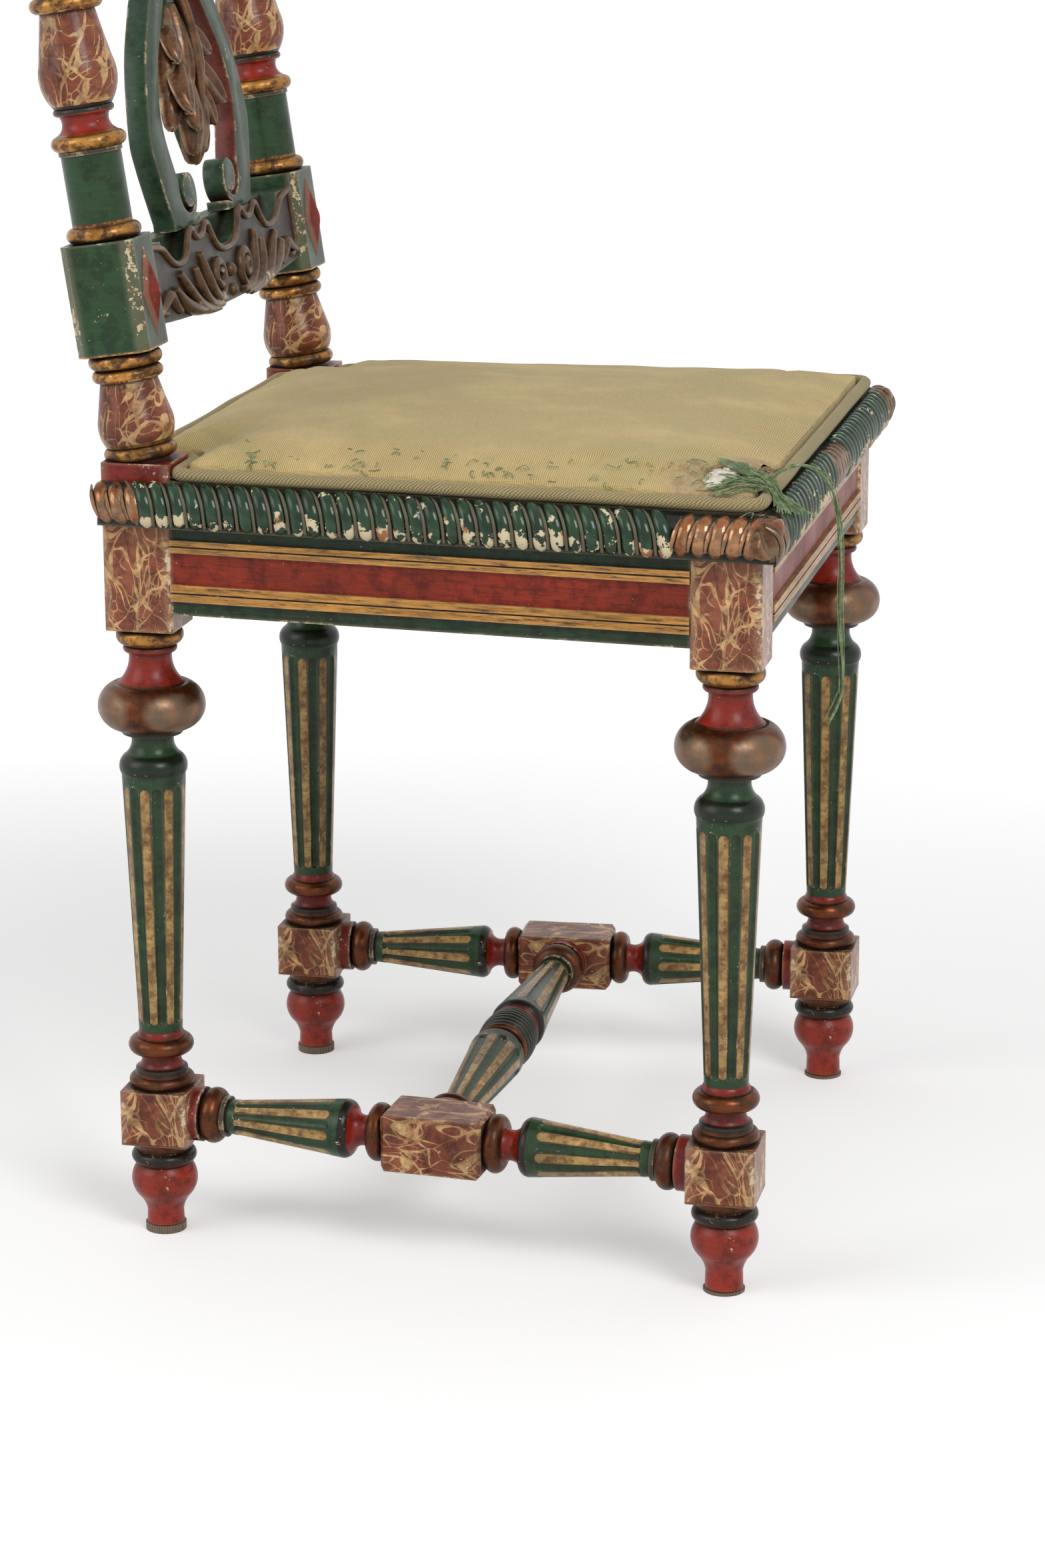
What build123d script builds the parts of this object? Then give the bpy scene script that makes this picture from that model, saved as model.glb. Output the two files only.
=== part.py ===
from build123d import *
import math
import os

# Carved, turned and painted side chair: two turned front legs, two rear posts that run from the
# floor to the crest, an H of turned stretchers, a moulded seat frame with a padded top, and a
# raked back with a lyre splat between a carved lower rail and a crest rail.
# Millimetres. +Z is up, the sitter faces -Y, and left and right are the sitter's own.
# The origin is on the floor, under the middle of the whole chair.

os.makedirs("parts", exist_ok=True)

# ---------------------------------------------------------------- driving dimensions
# Plan of the legs
front_leg_spacing = 392.0       # between the front leg axes
rear_leg_spacing = 344.0        # between the rear leg axes
leg_depth_spacing = 354.0       # from the front leg axes to the rear leg axes
leg_square = 41.5               # side of the square blocks of the legs
joint_gap = 0.1                 # clearance round every tenon, dowel and screw

# Heights
rail_top = 470.0                # where the rear posts bend
rail_height = 76.5              # of the seat rails
seat_block_drop = 11.5          # the leg blocks reach this far below the rails
plinth_rise = 12.5              # the red cap of the rear blocks stands this far above the rails
stretcher_height = 77.0         # axis of the stretchers

# Seat rails and what is planted on them
rail_thickness = 22.0
rail_recess = 2.0               # rails stand this far behind the leg blocks
rail_tenon_length = 15.0
rail_tenon_thickness = 10.0
rail_tenon_shoulder = 8.0       # from the rail's edges to its tenon
upper_strip_drop = 31.5         # from the rails' top to the strip's top
upper_strip_height = 7.5
lower_strip_drop = 58.0
lower_strip_height = 10.0
strip_projection = 2.6
strip_groove = 1.0              # between the two reeds of a strip
strip_groove_depth = 1.2
edge_moulding_drop = 24.0       # from the rails' top to its underside
edge_moulding_height = 26.0
edge_moulding_overhang = 14.0   # past the leg blocks
edge_moulding_profile = [       # how far inside its outer edge, and share of its height
    (5.0, 0.0),
    (1.2, 0.10),
    (0.0, 0.27),
    (2.6, 0.685),
    (9.0, 0.94),
    (12.0, 1.0),
]
fillet_strip_height = 3.0
fillet_strip_width = 6.0

# Seat filling
webbing_width = 50.0
webbing_thickness = 1.2
webbing_count = 4
hessian_thickness = 0.6
cushion_inset = 8.0             # from the outer face of the leg blocks
cushion_round = 6.0             # plan radius of the corners
notch_round = 10.0              # plan radius inside the notches at the rear posts
cushion_side_height = 10.0
cushion_crown = 29.0            # from the hessian to the top of the crown
piping_diameter = 8.0
post_clearance = 1.0            # between the cushion and the rear posts
corner_block_height = 40.0
corner_block_width = 18.0
corner_block_reach = 38.0       # from the rails' inner corner to the block
screw_diameter = 4.0
screw_head_diameter = 8.0
screw_head_height = 2.4
screw_length = 26.0

# Foot
front_pad_thickness = 1.5
rear_pad_thickness = 4.5
pad_diameter = 25.0
foot_tip_radius = 11.5
foot_tip_height = 13.0
foot_tip_round = 1.0            # softened edge under the tip
foot_waist_radius = 11.2
foot_flare_middle_radius = 12.6 # hollow flank between the tip and the bulb
foot_flare_radius = 15.6
foot_flare_height = 9.5
foot_bulb_radius = 20.3
foot_bulb_height = 44.5         # top of the bulb above the floor
foot_ring_radius = 20.0
foot_ring_height = 8.5
foot_bulb_top_radius = 16.0
foot_shoulder_low_radius = 17.0
foot_shoulder_radius = 20.0

# Square block of the lower leg
lower_block_bottom = 59.8
lower_block_height = 34.3
lower_block_round = 1.5         # softened upright edges
seat_block_round = 3.5

# Turning between the lower block and the seat block
block_bead_radius = 20.0
block_bead_height = 7.5
lower_flare_low_radius = 16.5
lower_flare_radius = 15.8
lower_flare_height = 4.2
lower_neck_radius = 12.1
lower_neck_height = 9.3
lower_collar_radius = 19.9
lower_collar_height = 10.5
column_foot_radius = 14.6
column_foot_middle_radius = 14.2
column_foot_height = 4.0
column_low_radius = 13.2
column_top_radius = 19.2
column_shoulder_radius = 20.4
column_shoulder_height = 12.0
neck_fullness = 1.0             # a neck is this much wider half way along
upper_flare_radius = 16.5
upper_neck_top_radius = 12.8
upper_neck_radius = 12.4
upper_neck_height = 13.0
ball_fillet_low_radius = 18.2
ball_fillet_radius = 19.2
ball_fillet_height = 2.6
ball_low_radius = 22.4          # where the ball meets the trumpet
ball_radius = 32.2
ball_height = 28.0
trumpet_low_radius = 20.4
trumpet_top_radius = 12.9
trumpet_height = 19.0
small_ring_radius = 16.2
small_ring_height = 4.8
seat_collar_radius = 20.2
seat_collar_height = 11.0

# Flutes
flute_count = 8
flute_depth = 1.9
flute_low_radius = 3.4
flute_top_radius = 4.6
flute_seam_turn = 137.0         # keeps the cutter's seam off the edges of its groove
flute_margin = 5.0              # plain surface left at each end of a flute

# Back post, measured along its raked axis from the bend in the seat block
rake_angle = 8.25
post_root_radius = 16.6         # below the first ring, sunk into the slanted start
post_root_length = 4.0
post_ring_radius = 21.6
post_ring_height = 8.6
vase_neck_radius = 19.4
vase_belly_radius = 22.5
vase_top_radius = 17.0
lower_vase_height = 38.0
twin_ring_radius = 21.8
twin_ring_height = 17.0
twin_ring_share = 0.45          # of the height, for the lower ring
ring_step = 0.8                 # a lesser ring is this much smaller in radius
post_block_square = 44.0
post_block_height = 65.0
post_block_chamfer = 5.0
drum_ring_radius = 22.0
drum_ring_height = 9.0
drum_radius = 17.6
drum_height = 41.5
drum_fillet_radius = 18.6
drum_fillet_height = 2.4
post_flare_radius = 18.4
post_neck_radius = 13.8
post_neck_height = 11.0
black_ring_radius = 17.8
black_ring_height = 4.6
upper_vase_height = 54.0
post_column_low_radius = 17.4
post_column_top_radius = 15.6
post_column_height = 146.0
crest_neck_height = 11.0
crest_block_height = 72.0

# Finial
finial_pin_radius = 5.0
finial_pin_length = 18.0
finial_foot_radius = 16.0
finial_foot_height = 4.0
finial_neck_radius = 8.0
finial_neck_height = 8.0
finial_ball_radius = 21.0
finial_tip_radius = 5.5
finial_tip_height = 12.0

# Lozenge bosses on the post blocks
lozenge_width = 26.0
lozenge_height = 53.0
lozenge_thickness = 6.0

# Stretchers
stretcher_block_length = 63.0
stretcher_block_square = 36.0
stretcher_block_chamfer = 2.5
stretcher_ring_radius = 17.9
stretcher_ring_height = 11.0
stretcher_neck_radius = 9.4
stretcher_flare_radius = 15.0
stretcher_neck_length = 11.0
stretcher_shoulder_length = 5.0
cone_shoulder_radius = 17.4     # half way along the shoulder
cone_wide_radius = 18.0
cone_narrow_radius = 10.3
stretcher_torus_radius = 17.2
stretcher_torus_length = 13.0
stretcher_step_radius = 12.6
stretcher_step_length = 3.0
stretcher_collar_radius = 16.8
stretcher_collar_length = 7.0
stretcher_tenon_radius = 8.0
stretcher_tenon_length = 14.0
barrel_radius = 18.4
barrel_length = 28.0
barrel_rib_count = 6
barrel_rib_depth = 1.3
barrel_swell = 1.2              # the middle ribs stand this far above the end ribs
middle_ring_length = 5.0
middle_ring_radius = 17.0
middle_neck_length = 7.0
middle_neck_radius = 12.6

# Lower back rail, crest rail and splat, in the raked plane of the back
back_rail_front = 16.0          # front face ahead of the post axis
back_rail_thickness = 27.0
lower_rail_bottom = 86.0        # along the rake, from the bend
lower_rail_belly = 6.0
lower_rail_height = 46.0
back_tenon_length = 14.0
back_tenon_thickness = 10.0
back_tenon_shoulder = 9.0
crest_rise = 40.0               # crest rail's middle above its ends
crest_end_height = 56.0
cartouche_width = 66.0
cartouche_thickness = 7.0
splat_front = 12.5              # splat's front face ahead of the post axis
splat_thickness = 14.0
arm_width = 20.0
foot_outer = 80.0               # lyre foot, from the chair's middle plane
foot_inner = 29.0
foot_height = 6.0
eye_radius = 17.0
eye_centre = 43.5
belly_outer = 98.0
waist_outer = 41.0
horn_outer = 104.0
dowel_radius = 4.0
dowel_length = 20.0
leaf_half_widths = (18.0, 24.0, 33.0, 42.0, 37.0, 24.0, 13.0)
backing_half_widths = (11.0, 17.0, 22.0, 25.0, 30.0, 48.0, 34.0)
leaf_thickness = 13.0
leaf_length = 120.0
leaf_margin = 4.0               # the backing shows this much below the leaf's point
collar_height = 16.0
collar_overhang = 4.0

# Loose thread at the torn corner
thread_diameter = 1.6

# ---------------------------------------------------------------- derived places
rake = math.radians(rake_angle)
front_half = front_leg_spacing / 2
rear_half = rear_leg_spacing / 2
half_leg = leg_square / 2
half_post = post_block_square / 2
rail_face = half_leg - rail_recess
sides = {"right": -1, "left": 1}

# Heights of the seat frame
rail_bottom = rail_top - rail_height
seat_block_bottom = rail_bottom - seat_block_drop
plinth_top = rail_top + plinth_rise
upper_strip_top = rail_top - upper_strip_drop
lower_strip_top = rail_top - lower_strip_drop
edge_moulding_bottom = rail_top - edge_moulding_drop

# Distances along the raked axis, from the bend upwards
post_turning_start = plinth_rise / math.cos(rake)
lower_block_start = post_turning_start + post_ring_height + lower_vase_height + twin_ring_height
lower_block_end = lower_block_start + post_block_height
drum_start = lower_block_end + drum_ring_height
neck_start = drum_start + drum_height + drum_fillet_height + drum_ring_height
upper_vase_start = neck_start + post_neck_height + black_ring_height
post_column_start = upper_vase_start + upper_vase_height + drum_ring_height
post_column_end = post_column_start + post_column_height
crest_block_start = post_column_end + drum_ring_height + crest_neck_height + black_ring_height
crest_block_end = crest_block_start + crest_block_height
post_end = crest_block_end + drum_ring_height
finial_ball_start = post_end + finial_foot_height + finial_neck_height
finial_ball_centre = finial_ball_start + math.sqrt(finial_ball_radius**2 - finial_neck_radius**2)

# The front edge moulding and the finial balls are the chair's front and back ends
edge_out = half_leg + edge_moulding_overhang
back_reach = finial_ball_centre * math.sin(rake) + finial_ball_radius
front_axis_y = (edge_out - back_reach - leg_depth_spacing) / 2
rear_axis_y = front_axis_y + leg_depth_spacing
middle_y = (front_axis_y + rear_axis_y) / 2

rail_front_y = front_axis_y + half_leg
rail_back_y = rear_axis_y - half_leg

back_up = Vector(0, math.sin(rake), math.cos(rake))
back_normal = Vector(0, -math.cos(rake), math.sin(rake))    # towards the sitter


def side_x(y, out=0.0):
    """Distance of the line through the left leg axes from the middle plane, moved outwards."""
    share = (y - front_axis_y) / leg_depth_spacing
    return front_half + (rear_half - front_half) * share + out


def back_point(x, along, ahead=0.0):
    """A point of the raked back: along the posts from the bend, and ahead of their axes."""
    bend = Vector(x, rear_axis_y, rail_top)
    return bend + back_up * along + back_normal * ahead


def back_plane(ahead=0.0):
    """Plane of the back with local X to the left side and local Y up the posts."""
    return Plane(origin=back_point(0, 0, ahead), x_dir=(1, 0, 0), z_dir=back_normal)


def save(piece, name):
    piece.label = name
    export_step(piece, f"parts/{name}.step")


# ---------------------------------------------------------------- turning
def bead(length, radius):
    """Half-round ring."""
    core = radius - length / 2
    return ("arc", length, core, core, radius)


def cove(length, start_radius, end_radius, middle_radius):
    return ("arc", length, start_radius, end_radius, middle_radius)


def straight(length, start_radius, end_radius):
    return ("line", length, start_radius, end_radius, 0)


def vase(length, foot_radius, belly_radius, top_radius):
    """Baluster that swells just above its foot and narrows to its top."""
    belly = 0.24 * length
    shoulder_radius = belly_radius - 0.18 * (belly_radius - top_radius)
    return [
        ("arc", 2 * belly, foot_radius, shoulder_radius, belly_radius),
        ("line", length - 2 * belly, shoulder_radius, top_radius, 0),
    ]


def outline(start, steps):
    """Closed half outline of a turning: local X is the radius, local Y runs along the axis."""
    with BuildLine() as edge:
        here = (0, start)
        for form, length, start_radius, end_radius, middle_radius in steps:
            foot = (start_radius, here[1])
            top = (end_radius, here[1] + length)
            if abs(foot[0] - here[0]) > 1e-6:
                Line(here, foot)
            if form == "arc":
                ThreePointArc(foot, (middle_radius, here[1] + length / 2), top)
            else:
                Line(foot, top)
            here = top
        Line(here, (0, here[1]))
        Line((0, here[1]), (0, start))
    return edge.line


def axis_plane(origin, along, radial=(1, 0, 0)):
    """Plane whose local Y is the axis of a turning and whose local X is a radius."""
    return Plane(origin=origin, x_dir=radial, z_dir=Vector(*radial).cross(Vector(*along)))


def turned(origin, along, start, steps, radial=(1, 0, 0)):
    """Solid turned from its steps, starting at a distance along the axis."""
    with BuildPart() as body:
        with BuildSketch(axis_plane(origin, along, radial)):
            add(outline(start, steps))
            make_face()
        revolve(axis=Axis(origin, along))
    return body.part


def flute_cutter(length, start_radius, end_radius):
    """Round-ended groove for the +X side of a tapering column that stands on the XY plane."""
    low = flute_margin
    high = length - flute_margin
    low_size, high_size = flute_low_radius, flute_top_radius
    if end_radius < start_radius:
        low_size, high_size = high_size, low_size
    slope = (end_radius - start_radius) / length
    low_end = (start_radius + slope * low + low_size - flute_depth, low + low_size)
    high_end = (start_radius + slope * high + high_size - flute_depth, high - high_size)
    lean = math.atan2(high_end[0] - low_end[0], high_end[1] - low_end[1])

    def spot(centre, out, up):
        x = centre[0] + math.cos(lean) * out + math.sin(lean) * up
        return (x, centre[1] - math.sin(lean) * out + math.cos(lean) * up)

    diagonal = math.sqrt(0.5)
    with BuildPart() as cutter:
        with BuildSketch(Plane.XZ):
            with BuildLine():
                ThreePointArc(
                    spot(low_end, 0, -low_size),
                    spot(low_end, low_size * diagonal, -low_size * diagonal),
                    spot(low_end, low_size, 0),
                )
                Line(spot(low_end, low_size, 0), spot(high_end, high_size, 0))
                ThreePointArc(
                    spot(high_end, high_size, 0),
                    spot(high_end, high_size * diagonal, high_size * diagonal),
                    spot(high_end, 0, high_size),
                )
                Line(spot(high_end, 0, high_size), spot(low_end, 0, -low_size))
            make_face()
        base = Vector(low_end[0], 0, low_end[1])
        tip = Vector(high_end[0], 0, high_end[1])
        revolve(axis=Axis(base, tip - base))
    return cutter.part.rotate(Axis(base, tip - base), flute_seam_turn)


def fluted_column(length, start_radius, end_radius):
    """Tapering column that stands on the XY plane, with grooves spaced evenly round it."""
    groove = flute_cutter(length, start_radius, end_radius)
    turn = 360 / flute_count
    with BuildPart() as column:
        add(turned((0, 0, 0), (0, 0, 1), 0, [straight(length, start_radius, end_radius)]))
        for index in range(flute_count):
            add(groove.rotate(Axis.Z, turn * (index + 0.5)), mode=Mode.SUBTRACT)
    return column.part


def placed(column, origin, along, start, radial=(1, 0, 0)):
    """Copy of a standing column, moved to its distance along an axis."""
    foot = Vector(*origin) + Vector(*along) * start
    return Plane(origin=foot, x_dir=radial, z_dir=along).location * column


def leg_block(x, y, edge_round, bottom, height):
    """Square block of a leg."""
    with BuildPart() as block:
        with BuildSketch(Plane.XY.offset(bottom)):
            with Locations((x, y)):
                RectangleRounded(leg_square, leg_square, edge_round)
        extrude(amount=height)
    return block.part


def foot_steps(pad_thickness):
    tip = foot_tip_height - pad_thickness
    bulb_length = foot_bulb_height - foot_tip_height - foot_flare_height
    shoulder_length = lower_block_bottom - foot_bulb_height - foot_ring_height
    return [
        straight(foot_tip_round, foot_tip_radius - foot_tip_round, foot_tip_radius),
        straight(tip - foot_tip_round, foot_tip_radius, foot_waist_radius),
        cove(foot_flare_height, foot_waist_radius, foot_flare_radius, foot_flare_middle_radius),
        cove(bulb_length, foot_flare_radius, foot_bulb_top_radius, foot_bulb_radius),
        bead(foot_ring_height, foot_ring_radius),
        straight(shoulder_length, foot_shoulder_low_radius, foot_shoulder_radius),
    ]


# Turned steps of the leg below and above its fluted column
leg_low_steps = [
    bead(block_bead_height, block_bead_radius),
    straight(lower_flare_height, lower_flare_low_radius, lower_flare_radius),
    cove(lower_neck_height, lower_flare_radius, lower_neck_radius + neck_fullness, lower_neck_radius),
    bead(lower_collar_height, lower_collar_radius),
    cove(column_foot_height, column_foot_radius, column_low_radius, column_foot_middle_radius),
]
leg_high_steps = [
    cove(column_shoulder_height, column_top_radius, upper_flare_radius, column_shoulder_radius),
    cove(upper_neck_height, upper_flare_radius, upper_neck_radius + neck_fullness, upper_neck_top_radius),
    straight(ball_fillet_height, ball_fillet_low_radius, ball_fillet_radius),
    cove(ball_height, ball_fillet_radius, ball_low_radius, ball_radius),
    cove(trumpet_height, trumpet_low_radius, trumpet_top_radius, trumpet_top_radius + neck_fullness),
    bead(small_ring_height, small_ring_radius),
    bead(seat_collar_height, seat_collar_radius),
]


def total_length(steps):
    return sum(step[1] for step in steps)


leg_turning_start = lower_block_bottom + lower_block_height
column_start = leg_turning_start + total_length(leg_low_steps)
column_end = seat_block_bottom - total_length(leg_high_steps)


# ---------------------------------------------------------------- joints cut into the legs
tenon_middle = rail_face - rail_thickness / 2      # outwards from the leg axes
tenon_height = rail_top - rail_bottom - 2 * rail_tenon_shoulder
tenon_base = rail_bottom + rail_tenon_shoulder


def side_mortise(side, y_block_face, inwards):
    """Box for a side rail's tenon: into a leg from the face at y_block_face."""
    centre_x = side * side_x(y_block_face, tenon_middle)
    depth = rail_tenon_length + joint_gap
    with BuildPart() as slot:
        with BuildSketch(Plane.XY.offset(tenon_base - joint_gap)):
            with Locations((centre_x, y_block_face + inwards * depth / 2)):
                Rectangle(rail_tenon_thickness + 2 * joint_gap, depth)
        extrude(amount=tenon_height + 2 * joint_gap)
    return slot.part


def cross_mortise(side, leg_half_spacing, centre_y):
    """Box for the front or back rail's tenon, into a leg from its inner face."""
    depth = rail_tenon_length + joint_gap
    centre_x = side * (leg_half_spacing - half_leg + depth / 2)
    with BuildPart() as slot:
        with BuildSketch(Plane.XY.offset(tenon_base - joint_gap)):
            with Locations((centre_x, centre_y)):
                Rectangle(depth, rail_tenon_thickness + 2 * joint_gap)
        extrude(amount=tenon_height + 2 * joint_gap)
    return slot.part


def socket(origin, along, radius, depth):
    """Round hole for a turned tenon or a dowel, from just outside the face it enters."""
    lead = 0.25 * radius
    plane = Plane(origin=Vector(*origin) - Vector(*along) * lead, z_dir=along)
    with BuildPart() as hole:
        with BuildSketch(plane):
            Circle(radius + joint_gap)
        extrude(amount=lead + depth + joint_gap)
    return hole.part


front_rail_centre_y = front_axis_y - tenon_middle
back_rail_centre_y = rear_axis_y + tenon_middle
side_run = Vector(rear_half - front_half, leg_depth_spacing, 0).normalized()


def side_direction(side):
    return Vector(side * side_run.X, side_run.Y, 0)


def stretcher_end(side, rear):
    """Where the side stretcher's axis meets the face of a leg block."""
    y = rail_back_y if rear else rail_front_y
    return Vector(side * side_x(y), y, stretcher_height)


upwards = (0, 0, 1)
leg_column = fluted_column(column_end - column_start, column_low_radius, column_top_radius)


def lower_leg(x, y, pad_thickness):
    """Everything below the seat block, which the front legs and the rear posts share."""
    foot = (x, y, 0)
    with BuildPart() as leg:
        add(turned(foot, upwards, pad_thickness, foot_steps(pad_thickness)))
        add(leg_block(x, y, lower_block_round, lower_block_bottom, lower_block_height))
        add(turned(foot, upwards, leg_turning_start, leg_low_steps))
        add(turned(foot, upwards, column_end, leg_high_steps))
        add(placed(leg_column, foot, upwards, column_start))
    return leg.part


def stretcher_socket(side, rear):
    inwards = side_direction(side) * (1 if rear else -1)
    return socket(stretcher_end(side, rear), inwards, stretcher_tenon_radius, stretcher_tenon_length)


def build_front_leg(side):
    x = side * front_half
    with BuildPart() as leg:
        add(lower_leg(x, front_axis_y, front_pad_thickness))
        add(leg_block(x, front_axis_y, seat_block_round, seat_block_bottom, rail_top - seat_block_bottom))
        add(side_mortise(side, rail_front_y, -1), mode=Mode.SUBTRACT)
        add(cross_mortise(side, front_half, front_rail_centre_y), mode=Mode.SUBTRACT)
        add(stretcher_socket(side, False), mode=Mode.SUBTRACT)
    return leg.part


post_steps = [
    bead(post_ring_height, post_ring_radius),
    *vase(lower_vase_height, vase_neck_radius, vase_belly_radius, vase_top_radius),
    bead(twin_ring_height * twin_ring_share, twin_ring_radius - ring_step),
    bead(twin_ring_height * (1 - twin_ring_share), twin_ring_radius),
]
drum_steps = [
    bead(drum_ring_height, drum_ring_radius),
    straight(drum_height, drum_radius, drum_radius),
    straight(drum_fillet_height, drum_fillet_radius, drum_fillet_radius),
    bead(drum_ring_height, drum_ring_radius),
    cove(post_neck_height, post_flare_radius, post_neck_radius + neck_fullness, post_neck_radius),
    bead(black_ring_height, black_ring_radius),
    *vase(upper_vase_height, vase_top_radius, vase_belly_radius, vase_top_radius - 1),
    bead(drum_ring_height, drum_ring_radius - ring_step),
]
crest_neck_steps = [
    bead(drum_ring_height, drum_ring_radius - ring_step),
    cove(crest_neck_height, post_flare_radius - 1, post_neck_radius + neck_fullness, post_neck_radius),
    bead(black_ring_height, black_ring_radius + 1),
]


def post_block(x, start, height):
    """Square block of a back post with chamfered upright edges."""
    plane = Plane(origin=back_point(x, start), x_dir=(1, 0, 0), z_dir=back_up)
    with BuildPart() as block:
        with BuildSketch(plane):
            Rectangle(post_block_square, post_block_square)
        extrude(amount=height)
        chamfer(block.edges().filter_by(Axis(back_point(x, start), back_up)), post_block_chamfer)
    return block.part


def back_mortise(side, low, height):
    """Box for the tenon of a back rail, into the inner face of a post block."""
    depth = back_tenon_length + joint_gap
    centre_x = side * (rear_half - half_post + depth / 2)
    ahead = back_rail_front - back_rail_thickness / 2 - (back_tenon_thickness / 2 + joint_gap)
    with BuildPart() as slot:
        with BuildSketch(back_plane(ahead)):
            with Locations((centre_x, low + height / 2)):
                Rectangle(depth, height + 2 * joint_gap)
        extrude(amount=back_tenon_thickness + 2 * joint_gap)
    return slot.part


lower_tenon_low = lower_rail_bottom + back_tenon_shoulder
lower_tenon_height = lower_rail_height - 2 * back_tenon_shoulder
crest_rail_bottom = crest_block_start + (crest_block_height - crest_end_height) / 2
crest_tenon_low = crest_rail_bottom + back_tenon_shoulder
crest_tenon_height = crest_end_height - 2 * back_tenon_shoulder


post_column = fluted_column(post_column_height, post_column_low_radius, post_column_top_radius)


def build_rear_post(side):
    x = side * rear_half
    bend = back_point(x, 0)
    up = tuple(back_up)
    root = straight(post_root_length, post_root_radius, post_root_radius)
    crown = [bead(drum_ring_height, drum_ring_radius - ring_step)]
    with BuildPart() as post:
        add(lower_leg(x, rear_axis_y, rear_pad_thickness))
        add(leg_block(x, rear_axis_y, lower_block_round, seat_block_bottom, plinth_top - seat_block_bottom))
        add(turned(bend, up, post_turning_start - post_root_length, [root] + post_steps))
        add(post_block(x, lower_block_start, post_block_height))
        add(turned(bend, up, lower_block_end, drum_steps))
        add(turned(bend, up, post_column_end, crest_neck_steps))
        add(placed(post_column, bend, up, post_column_start))
        add(post_block(x, crest_block_start, crest_block_height))
        add(turned(bend, up, crest_block_end, crown))
        add(side_mortise(side, rail_back_y, 1), mode=Mode.SUBTRACT)
        add(cross_mortise(side, rear_half, back_rail_centre_y), mode=Mode.SUBTRACT)
        add(stretcher_socket(side, True), mode=Mode.SUBTRACT)
        add(back_mortise(side, lower_tenon_low, lower_tenon_height), mode=Mode.SUBTRACT)
        add(back_mortise(side, crest_tenon_low, crest_tenon_height), mode=Mode.SUBTRACT)
        pin_hole = socket(back_point(x, post_end), back_up * -1, finial_pin_radius, finial_pin_length)
        add(pin_hole, mode=Mode.SUBTRACT)
    return post.part


for side_name, side in sides.items():
    save(build_front_leg(side), f"front_leg_{side_name}")
    save(build_rear_post(side), f"rear_post_{side_name}")

# ---------------------------------------------------------------- felt pads
for side_name, side in sides.items():
    for end_name, x, y, thickness in (
        ("front", side * front_half, front_axis_y, front_pad_thickness),
        ("rear", side * rear_half, rear_axis_y, rear_pad_thickness),
    ):
        with BuildPart() as pad:
            with BuildSketch(Plane.XY):
                with Locations((x, y)):
                    Circle(pad_diameter / 2)
            extrude(amount=thickness)
        save(pad.part, f"felt_pad_{end_name}_{side_name}")

# ---------------------------------------------------------------- seat rails
def side_quad(side, y_low, y_high, inner, outer):
    """Plan of a strip that follows the slanted side of the seat, between two offsets."""
    return [
        (side * side_x(y_low, inner), y_low),
        (side * side_x(y_low, outer), y_low),
        (side * side_x(y_high, outer), y_high),
        (side * side_x(y_high, inner), y_high),
    ]


def prism(points, bottom, height):
    with BuildPart() as body:
        with BuildSketch(Plane.XY.offset(bottom)):
            with BuildLine():
                Polyline(points + [points[0]])
            make_face()
        extrude(amount=height)
    return body.part


def rail_box(low_x, high_x, low_y, high_y, bottom, height):
    return prism([(low_x, low_y), (high_x, low_y), (high_x, high_y), (low_x, high_y)], bottom, height)


# Corner blocks: a bar across each inner corner, held by two screws
inner_line = rail_face - rail_thickness


def corner_frame(side, rear):
    """Inner corner of the rails, and the unit vectors along the side rail and the cross rail."""
    y = rear_axis_y + inner_line if rear else front_axis_y - inner_line
    corner = Vector(side * side_x(y, inner_line), y, 0)
    along_side = side_direction(side) * (-1 if rear else 1)
    along_cross = Vector(-side, 0, 0)
    return corner, along_side, along_cross


def corner_points(side, rear):
    corner, along_side, along_cross = corner_frame(side, rear)
    far = corner_block_reach + corner_block_width * math.sqrt(2)
    spots = (
        corner + along_side * corner_block_reach,
        corner + along_side * far,
        corner + along_cross * far,
        corner + along_cross * corner_block_reach,
    )
    return [(spot.X, spot.Y) for spot in spots]


corner_block_top = rail_top - 10.0
screw_height = corner_block_top - corner_block_height / 2
screw_offset = corner_block_reach + corner_block_width * math.sqrt(2) * 0.6
screw_cover = corner_block_width * math.sqrt(2) * 0.4


def corner_screws(side, rear):
    """Head centre and direction of the two screws of a corner block, into the two rails."""
    corner, along_side, along_cross = corner_frame(side, rear)
    lift = Vector(0, 0, screw_height)
    into_side = Vector(side * side_run.Y, -side_run.X, 0)
    into_cross = Vector(0, 1 if rear else -1, 0)
    return (
        (corner + along_side * screw_offset - into_side * (screw_cover - 1.0) + lift, into_side),
        (corner + along_cross * screw_offset - into_cross * (screw_cover - 1.0) + lift, into_cross),
    )


def screw_body(head, along, clearance=0.0, counterbore=0.0):
    plane = Plane(origin=head - along * counterbore, z_dir=along)
    with BuildPart() as screw:
        with BuildSketch(plane):
            Circle(screw_head_diameter / 2 + clearance)
        extrude(amount=screw_head_height + counterbore)
        with BuildSketch(plane):
            Circle(screw_diameter / 2 + clearance)
        extrude(amount=screw_length + counterbore + clearance)
    return screw.part


def screw_holes(side_names):
    return [
        screw_body(head, along, joint_gap, screw_cover * 2)
        for name in side_names
        for rear in (False, True)
        for head, along in corner_screws(sides[name], rear)
    ]


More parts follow.
